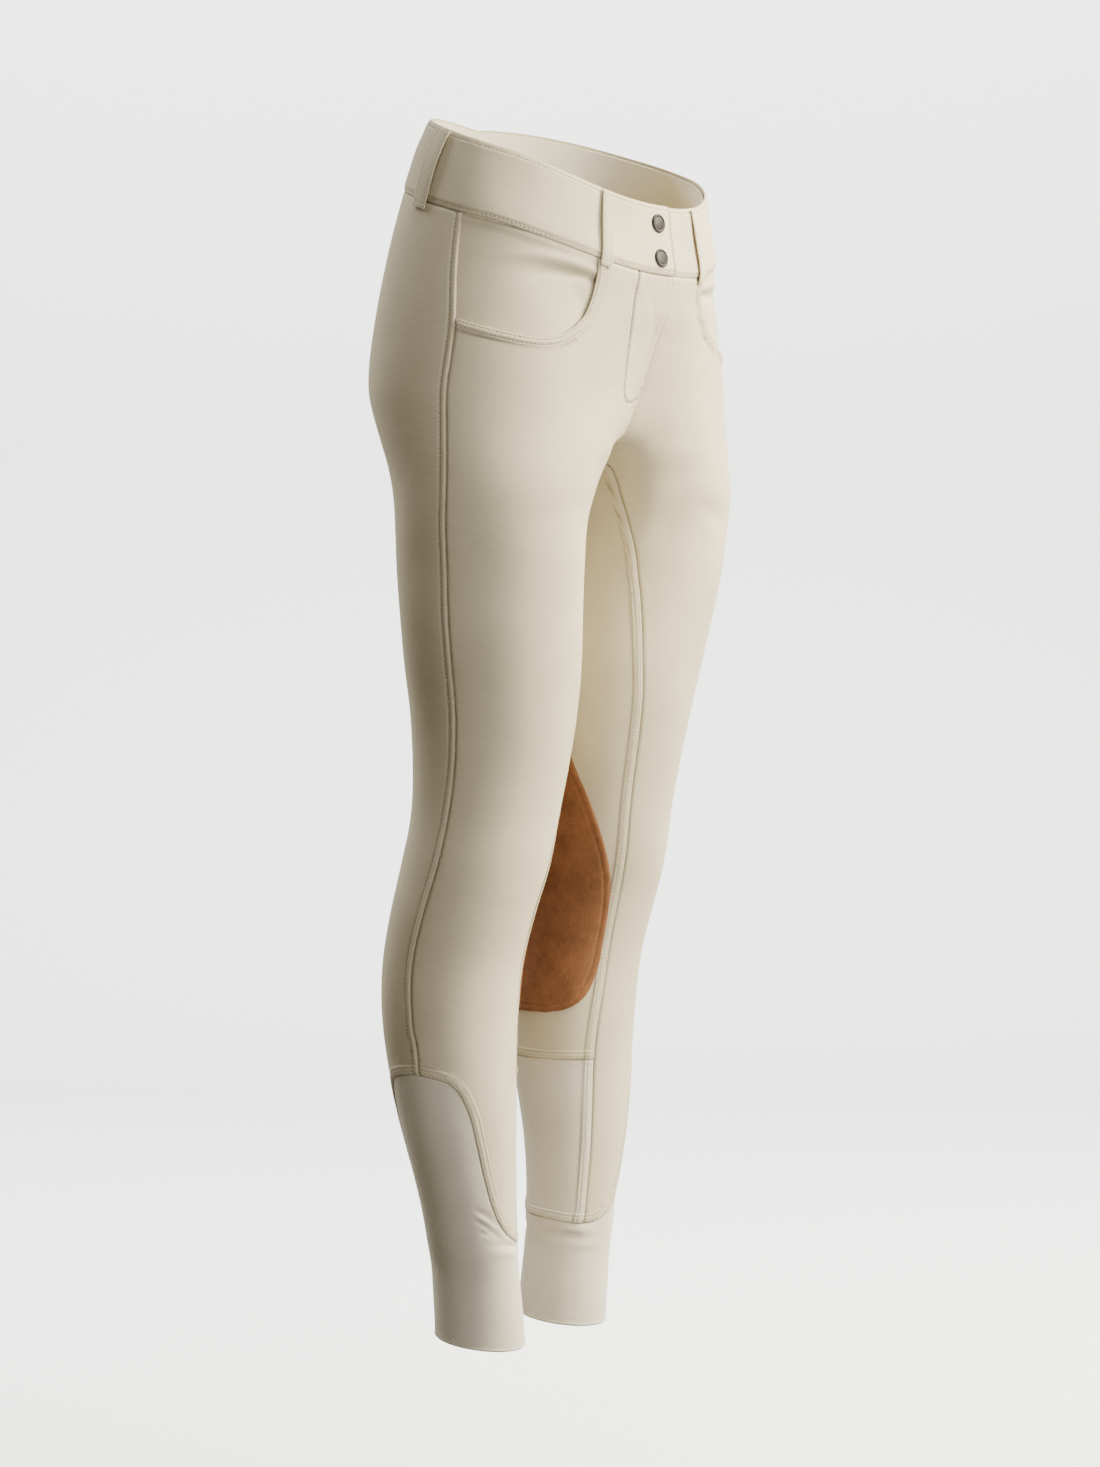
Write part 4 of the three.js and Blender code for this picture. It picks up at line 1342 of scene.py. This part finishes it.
class BREECHES_OT_calves(bpy.types.Operator):
    """The stretch panels on the inner calves"""

    bl_idname = "breeches.calves"
    bl_label = "Calf panels"

    def execute(self, context):
        t, s = calf_grid()
        for hand, side in (("right", -1), ("left", 1)):
            edges = [
                (lambda p: p[0], tucked),
                (lambda p: p[:, 0], tucked),
                (lambda p: p[:, -1], lap),
                (lambda p: p[-1], lap),
            ]
            name = f"calf_panel_{hand}"
            piece = cloth_piece(name + "_cloth", t, s, side, 0, 0.9, edges, sock_knit())
            declare(name)
        return {"FINISHED"}


class BREECHES_OT_socks(bpy.types.Operator):
    """The sock cuffs, each a tube with a tongue up the outer calf"""

    bl_idname = "breeches.socks"
    bl_label = "Sock cuffs"

    def execute(self, context):
        t, s = sock_grid()
        for hand, side in (("right", -1), ("left", 1)):
            edges = [
                (lambda p: np.concatenate([p[0], p[0, :1]]), tucked),
                (lambda p: np.concatenate([p[-1], p[-1, :1]]), turned),
            ]
            name = f"sock_{hand}"
            piece = cloth_piece(
                name + "_cloth", t, s, side, 0, 0.9, edges, sock_knit(), closed=True
            )
            declare(name)
        return {"FINISHED"}


class BREECHES_OT_patches(bpy.types.Operator):
    """The suede knee patches, laid on the back panels"""

    bl_idname = "breeches.patches"
    bl_label = "Knee patches"

    def execute(self, context):
        rows = along_width(np.array([247.0]), 70)[0]
        s = -425 - 247 * rows
        half = look(PATCH, "s", "half", s)
        scale = mm_per_t(np.full(s.shape, 0.97), s)
        across = along_width(2 * half * scale, 26)
        t = PATCH_MIDDLE + half[:, None] * (2 * across - 1)
        t = np.where(t < 0, t + 1, t)
        s = np.repeat(s[:, None], t.shape[1], 1)
        for hand, side in (("right", -1), ("left", 1)):
            edges = [
                (lambda p: np.concatenate([p[:, 0], p[-1], p[::-1, -1], p[0, ::-1]]), patch_edge),
            ]
            name = f"knee_patch_{hand}"
            piece = cloth_piece(name + "_suede", t, s, side, 1.35, 1.15, edges, suede_nap())
            declare(name)
        return {"FINISHED"}


RIGHT_END = -1.006
LEFT_END = 1.08
TUCK_FROM = 0.91
TUCK_FULL = 0.97
BAND_THICK = 2.4
TUCK_DEPTH = 3.0


def tuck(q):
    """How far the left end of the band goes in under the right one."""
    return -TUCK_DEPTH * smooth((q - TUCK_FROM) / (TUCK_FULL - TUCK_FROM))


class BREECHES_OT_band(bpy.types.Operator):
    """The waistband, its right end over its left, and the facing inside it"""

    bl_idname = "breeches.band"
    bl_label = "Waistband"

    def execute(self, context):
        q, s = band_grid(RIGHT_END, LEFT_END, RIM, BAND_SEAM, 16, 300)
        piece = band_piece(
            "waistband_cloth",
            q,
            s,
            BAND_RISE + tuck(q),
            BAND_THICK,
            (band_edge, band_edge, band_edge, no_change),
            stretch_twill(),
        )
        declare("waistband")
        q, s = band_grid(-0.88, 0.88, RIM - 2, BAND_SEAM + 2, 8, 200)
        piece = band_piece(
            "waistband_facing_cloth",
            q,
            s,
            np.full(q.shape, -BAND_THICK - 0.35),
            0.9,
            (no_change, no_change, no_change, no_change),
            facing_twill(),
        )
        declare("waistband_facing")
        return {"FINISHED"}


LOOPS = table("t wide stand", (0.163, 10, 1.7), (0.585, 18, 1.7), (0.815, 10, 1.9))
LOOP_NAMES = ("front", "side", "back")
LOOP_TOP = 25.5
LOOP_END = -37.0
LOOP_LIFT = 1.5


def loop_points(k, across, down, out, side):
    """Points of a belt loop: it lies on the band at both ends and stands off it between them."""
    t0, wide, stand = (LOOPS[name][k] for name in ("t", "wide", "stand"))
    s = mix(LOOP_TOP, LOOP_END, down)
    lift = LOOP_LIFT + stand * np.sin(np.pi * np.clip(down * 1.02, 0, 1)) ** 0.7
    t0 = worn(np.full(s.shape, t0), s, side)
    t = t0 + across * wide / 2 / mm_per_t(t0, s)
    p = form_point(t, s) + form_normal(t, s) * (lift + out)[..., None]
    p[..., 0] *= side
    return p


class BREECHES_OT_loops(bpy.types.Operator):
    """Six belt loops, each a folded strip with its edges rolled under"""

    bl_idname = "breeches.loops"
    bl_label = "Belt loops"

    def execute(self, context):
        across = np.sin(np.linspace(-np.pi / 2, np.pi / 2, 15))
        down = np.linspace(0, 1, 34)
        grid_across, grid_down = np.meshgrid(across, down)
        side_roll = 0.55 * np.sqrt(np.clip(1 - grid_across**4, 0, 1))
        valleys = 0.16 * np.exp(-(((abs(grid_across) - 0.68) / 0.1) ** 2))
        for k, kind in enumerate(LOOP_NAMES):
            for hand, side in (("right", -1), ("left", 1)):
                face = loop_points(k, grid_across, grid_down, side_roll - valleys + 0.25, side)
                back = loop_points(k, grid_across, grid_down, np.full(grid_across.shape, -0.35), side)
                rows, columns = grid_across.shape
                verts = np.concatenate([face.reshape(-1, 3), back.reshape(-1, 3)])
                faces = wall_faces(rows, columns, np.ones((rows - 1, columns - 1), bool), False, side < 0)
                uv = np.stack([grid_across * LOOPS["wide"][k] / 2, grid_down * 62], -1).reshape(-1, 2)
                # Painted shade: the loop's valleys beside its stitch rows are darkened in colour
                shade = valleys.ravel() * 1.5
                name = f"belt_loop_{kind}_{hand}"
                piece = finish_mesh(
                    name + "_cloth",
                    verts,
                    faces,
                    stretch_twill(),
                    np.concatenate([uv, uv]),
                    np.concatenate([shade, shade]),
                )
                declare(name)
        return {"FINISHED"}


SNAP_T = 0.038
SNAP_HEIGHTS = {"upper": 12.0, "lower": -16.0}
SNAP_PROFILE = table(
    "r h",
    (7.3, -0.2),
    (7.45, 0.5),
    (7.35, 1.1),
    (7.0, 1.6),
    (6.5, 1.85),
    (6.0, 1.8),
    (5.6, 1.5),
    (5.2, 1.35),
    (4.6, 1.5),
    (3.4, 1.72),
    (1.8, 1.85),
    (0.0, 1.9),
)


class BREECHES_OT_snaps(bpy.types.Operator):
    """Two plated snap caps with a plain pebbled face inside a raised rim"""

    bl_idname = "breeches.snaps"
    bl_label = "Snap caps"

    def execute(self, context):
        turns = 64
        heights = refined(SNAP_PROFILE["h"], 3)
        radii = refined(SNAP_PROFILE["r"], 3)
        for kind, s in SNAP_HEIGHTS.items():
            seat = form_point(SNAP_T, s)
            normal = form_normal(SNAP_T, s)
            seat = seat * (-1, 1, 1) + normal * (-1, 1, 1) * (BAND_RISE + 0.2)
            normal = Vector(normal * (-1, 1, 1))
            turn = normal.to_track_quat("Z", "Y")
            verts, faces = [], []
            for r, h in zip(radii[:-1], heights[:-1]):
                for k in range(turns):
                    a = 2 * math.pi * k / turns
                    pebble = 0.12 * math.sin(r * 5.2) * math.sin(a * round(r * 3.2)) if r < 5.2 else 0
                    verts.append(turn @ Vector((r * math.cos(a), r * math.sin(a), h + pebble)) + Vector(seat))
            rings = len(radii) - 1
            for j in range(rings - 1):
                for k in range(turns):
                    a, b = j * turns + k, j * turns + (k + 1) % turns
                    faces.append((a, b, b + turns, a + turns))
            verts.append(turn @ Vector((0, 0, heights[-1])) + Vector(seat))
            top = len(verts) - 1
            faces += [((rings - 1) * turns + k, (rings - 1) * turns + (k + 1) % turns, top) for k in range(turns)]
            faces.append(tuple(range(turns - 1, -1, -1)))
            name = f"snap_cap_{kind}"
            piece = finish_mesh(name + "_metal", np.array(verts), faces, antique_pewter())
            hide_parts(name)
        return {"FINISHED"}


class BREECHES_OT_stitches(bpy.types.Operator):
    """Every row of stitches, and the bar tacks"""

    bl_idname = "breeches.stitches"
    bl_label = "Stitching"

    def execute(self, context):
        settings = context.scene.breeches
        size = (settings.stitch_pitch, settings.stitch_length, settings.thread_thickness)
        thread = sewing_thread("cream_thread", "#D6CBAE", "#C2B697")
        brown = sewing_thread("brown_thread", "#6E3D1C", "#53290F")
        for hand, side in (("right", -1), ("left", 1)):
            stitch_piece(f"seam_stitches_{hand}", seam_rows(side), thread, *size)
            t, s = patch_places(FAR_ROW)
            line = sewn(t, s, side, 1.1)
            stitch_piece(f"patch_stitches_{hand}", [line], brown, *size, slot="suede")
        self.fly_and_band(thread, size)
        self.tacks(thread)
        return {"FINISHED"}

    def fly_and_band(self, thread, size):
        # The fly's stitches are drawn tight and lie in shade; this thread is darker than the rest as painted shade
        fly_painted_shade_thread = sewing_thread("fly_thread", "#6F664F", "#5E563F")
        stitch_piece("fly_stitches", [sewn(*fly_line(), -1, -0.75)], fly_painted_shade_thread, *size)
        lines = []
        q = np.linspace(RIGHT_END + 0.01, 0.985, 400)
        sunk = BAND_RISE - 0.42
        for height in (RIM - BAND_ROW, BAND_SEAM + BAND_ROW):
            lines.append(band_points(q, np.full(q.shape, height), sunk + tuck(q) + band_wave(q, height)))
        s = np.linspace(RIM - BAND_ROW, BAND_SEAM + BAND_ROW, 20)
        q = np.full(s.shape, RIGHT_END + BAND_ROW / mm_per_t(0.01, 0.0))
        lines.append(band_points(q, s, sunk + band_wave(q, s)))
        down = np.linspace(0.04, 0.96, 20)
        for k in range(len(LOOP_NAMES)):
            for side in (-1, 1):
                for across in (-0.68, 0.68):
                    lines.append(loop_points(k, np.full(20, across), down, np.full(20, 0.62), side))
        stitch_piece("band_stitches", lines, thread, *size)

    def tacks(self, thread):
        """Bar tacks: a few millimetres of thread laid side by side."""
        lines = []
        for side in (-1, 1):
            for k in range(len(LOOP_NAMES)):
                across = np.linspace(-0.85, 0.85, 12)
                for down in (0.04, 0.965):
                    lines.append(loop_points(k, across, np.full(12, down), np.full(12, 0.72), side))
            s = np.linspace(-34, -43, 6)
            t = look(POCKET_UPRIGHT, "s", "t", s) - NEAR_ROW / mm_per_t(np.full(6, 0.17), s)
            lines.append(sewn(t, s, side, 0.6))
        s = np.linspace(-168, -178, 6)
        lines.append(sewn(np.full(6, 0.012), s, -1, 0.5))
        stitch_piece("bar_tacks", lines, thread, 0.75, 1.9, 0.55)


# The key light is a little warmer than the room, so the cloth's lit side is creamier than its shade
WARM = (1.0, 0.94, 0.75)
# The weaker lights, as shares of the key light
FILL_SHARE = 0.11
TOP_SHARE = 0.3
# The way from the camera to the backdrop, and the way along the backdrop to the right
AWAY = Vector((0.809, 0.588, 0.0))
ALONG = Vector((0.588, -0.809, 0.0))


class BREECHES_OT_stage(bpy.types.Operator):
    """The floor and backdrop, the soft lights and the camera"""

    bl_idname = "breeches.stage"
    bl_label = "Studio"

    def execute(self, context):
        studio = context.scene.breeches_studio
        self.backdrop()
        aim = Vector((0.0, 0.0, -0.45))
        # The key light stands to the right of the camera, which leaves the backs of the legs in shade
        self.light("key_light", Vector((0.97, -1.89, 1.0)), aim, 1.1, studio.key_power, WARM)
        # A weak white light to the left of it reaches the far leg's inner side between the legs
        self.light("fill_light", Vector((-0.8, -2.1, -0.35)), aim, 1.0, studio.key_power * FILL_SHARE)
        self.light("top_light", Vector((0.1, -1.2, 2.6)), aim, 2.0, studio.key_power * TOP_SHARE)
        # Two lights between the breeches and the backdrop shine on the paper alone
        for name, shift in (("paper_light_left", -1.9), ("paper_light_right", 1.9)):
            where = AWAY * 1.5 + ALONG * shift + Vector((0, 0, 1.9))
            self.light(name, where, AWAY * 4.2 + ALONG * shift * 0.3 + Vector((0, 0, -0.8)), 1.6, studio.paper_power)
        world = bpy.data.worlds.new("room")
        world.use_nodes = True
        back = world.node_tree.nodes["Background"]
        back.inputs["Color"].default_value = linear("#F7EFDC")
        back.inputs["Strength"].default_value = studio.room_light
        context.scene.world = world
        self.camera(context)
        return {"FINISHED"}

    def backdrop(self):
        """A pale floor that turns up into a wall, well clear of the breeches."""
        material, tree = new_material("studio_paper")
        if tree is not None:
            shader = put(
                tree,
                "ShaderNodeBsdfPrincipled",
                {"Base Color": linear("#F2F2F2"), "Roughness": 0.9, "Specular IOR Level": 0.1},
            )
            close(tree, shader)
        floor, radius, reach, top = -1.25, 1.2, 3.2, 5.0
        profile = [(-4.0, floor)]
        for k in range(25):
            a = math.pi / 2 * k / 24
            profile.append((reach + radius * math.sin(a), floor + radius * (1 - math.cos(a))))
        profile.append((reach + radius, top))
        verts, faces = [], []
        for distance, height in profile:
            for shift in (-3.2, 3.2):
                p = AWAY * distance + ALONG * shift
                verts.append((p.x, p.y, height))
        for k in range(len(profile) - 1):
            faces.append((2 * k, 2 * k + 1, 2 * k + 3, 2 * k + 2))
        mesh = bpy.data.meshes.new("backdrop")
        mesh.from_pydata(verts, [], faces)
        mesh.materials.append(material)
        mesh.shade_smooth()
        paper = bpy.data.objects.new("backdrop", mesh)
        bpy.context.collection.objects.link(paper)
        # The paper throws no light back on the cloth, as if it stood much further off
        paper.visible_diffuse = False

    def light(self, name, where, aim, size, power, colour=(1, 1, 1)):
        lamp = bpy.data.lights.new(name, "AREA")
        lamp.size = size
        lamp.energy = power
        lamp.color = colour
        holder = bpy.data.objects.new(name, lamp)
        holder.location = where
        holder.rotation_mode = "QUATERNION"
        holder.rotation_quaternion = (aim - where).to_track_quat("-Z", "Y")
        bpy.context.collection.objects.link(holder)

    def camera(self, context):
        """The photograph's view: from the wearer's front right, a little above the knees."""
        azimuth, elevation = math.radians(-54), math.radians(3)
        back = Vector(
            (
                math.sin(azimuth) * math.cos(elevation),
                -math.cos(azimuth) * math.cos(elevation),
                math.sin(elevation),
            )
        )
        right = Vector((math.cos(azimuth), math.sin(azimuth), 0.0))
        data = bpy.data.cameras.new("camera")
        data.sensor_width = 36.0
        data.lens = 81.6
        data.clip_start, data.clip_end = 0.1, 60.0
        holder = bpy.data.objects.new("camera", data)
        holder.location = back * 2.66 + right * -0.0128 - back.cross(right) * 0.438
        holder.rotation_mode = "QUATERNION"
        holder.rotation_quaternion = (-back).to_track_quat("-Z", "Y")
        bpy.context.collection.objects.link(holder)
        context.scene.camera = holder


class BREECHES_PT_panel(bpy.types.Panel):
    """Builds each group of pieces"""

    bl_idname = "BREECHES_PT_panel"
    bl_label = "Breeches"
    bl_space_type = "VIEW_3D"
    bl_region_type = "UI"
    bl_category = "Breeches"

    def draw(self, context):
        for settings in (context.scene.breeches, context.scene.breeches_studio):
            for name in settings.__annotations__:
                self.layout.prop(settings, name)
        for operator in OPERATORS:
            self.layout.operator(operator.bl_idname)


OPERATORS = (
    BREECHES_OT_fronts,
    BREECHES_OT_backs,
    BREECHES_OT_bearers,
    BREECHES_OT_calves,
    BREECHES_OT_socks,
    BREECHES_OT_patches,
    BREECHES_OT_band,
    BREECHES_OT_loops,
    BREECHES_OT_snaps,
    BREECHES_OT_stitches,
    BREECHES_OT_stage,
)
CLASSES = (BreechesSettings, StudioSettings, *OPERATORS, BREECHES_PT_panel)


def register():
    for item in CLASSES:
        bpy.utils.register_class(item)
    bpy.types.Scene.breeches = bpy.props.PointerProperty(type=BreechesSettings)
    bpy.types.Scene.breeches_studio = bpy.props.PointerProperty(type=StudioSettings)


def unregister():
    del bpy.types.Scene.breeches_studio
    del bpy.types.Scene.breeches
    for item in reversed(CLASSES):
        bpy.utils.unregister_class(item)


def main():
    register()
    for operator in OPERATORS:
        group, name = operator.bl_idname.split(".")
        getattr(getattr(bpy.ops, group), name)()


if __name__ == "__main__":
    main()
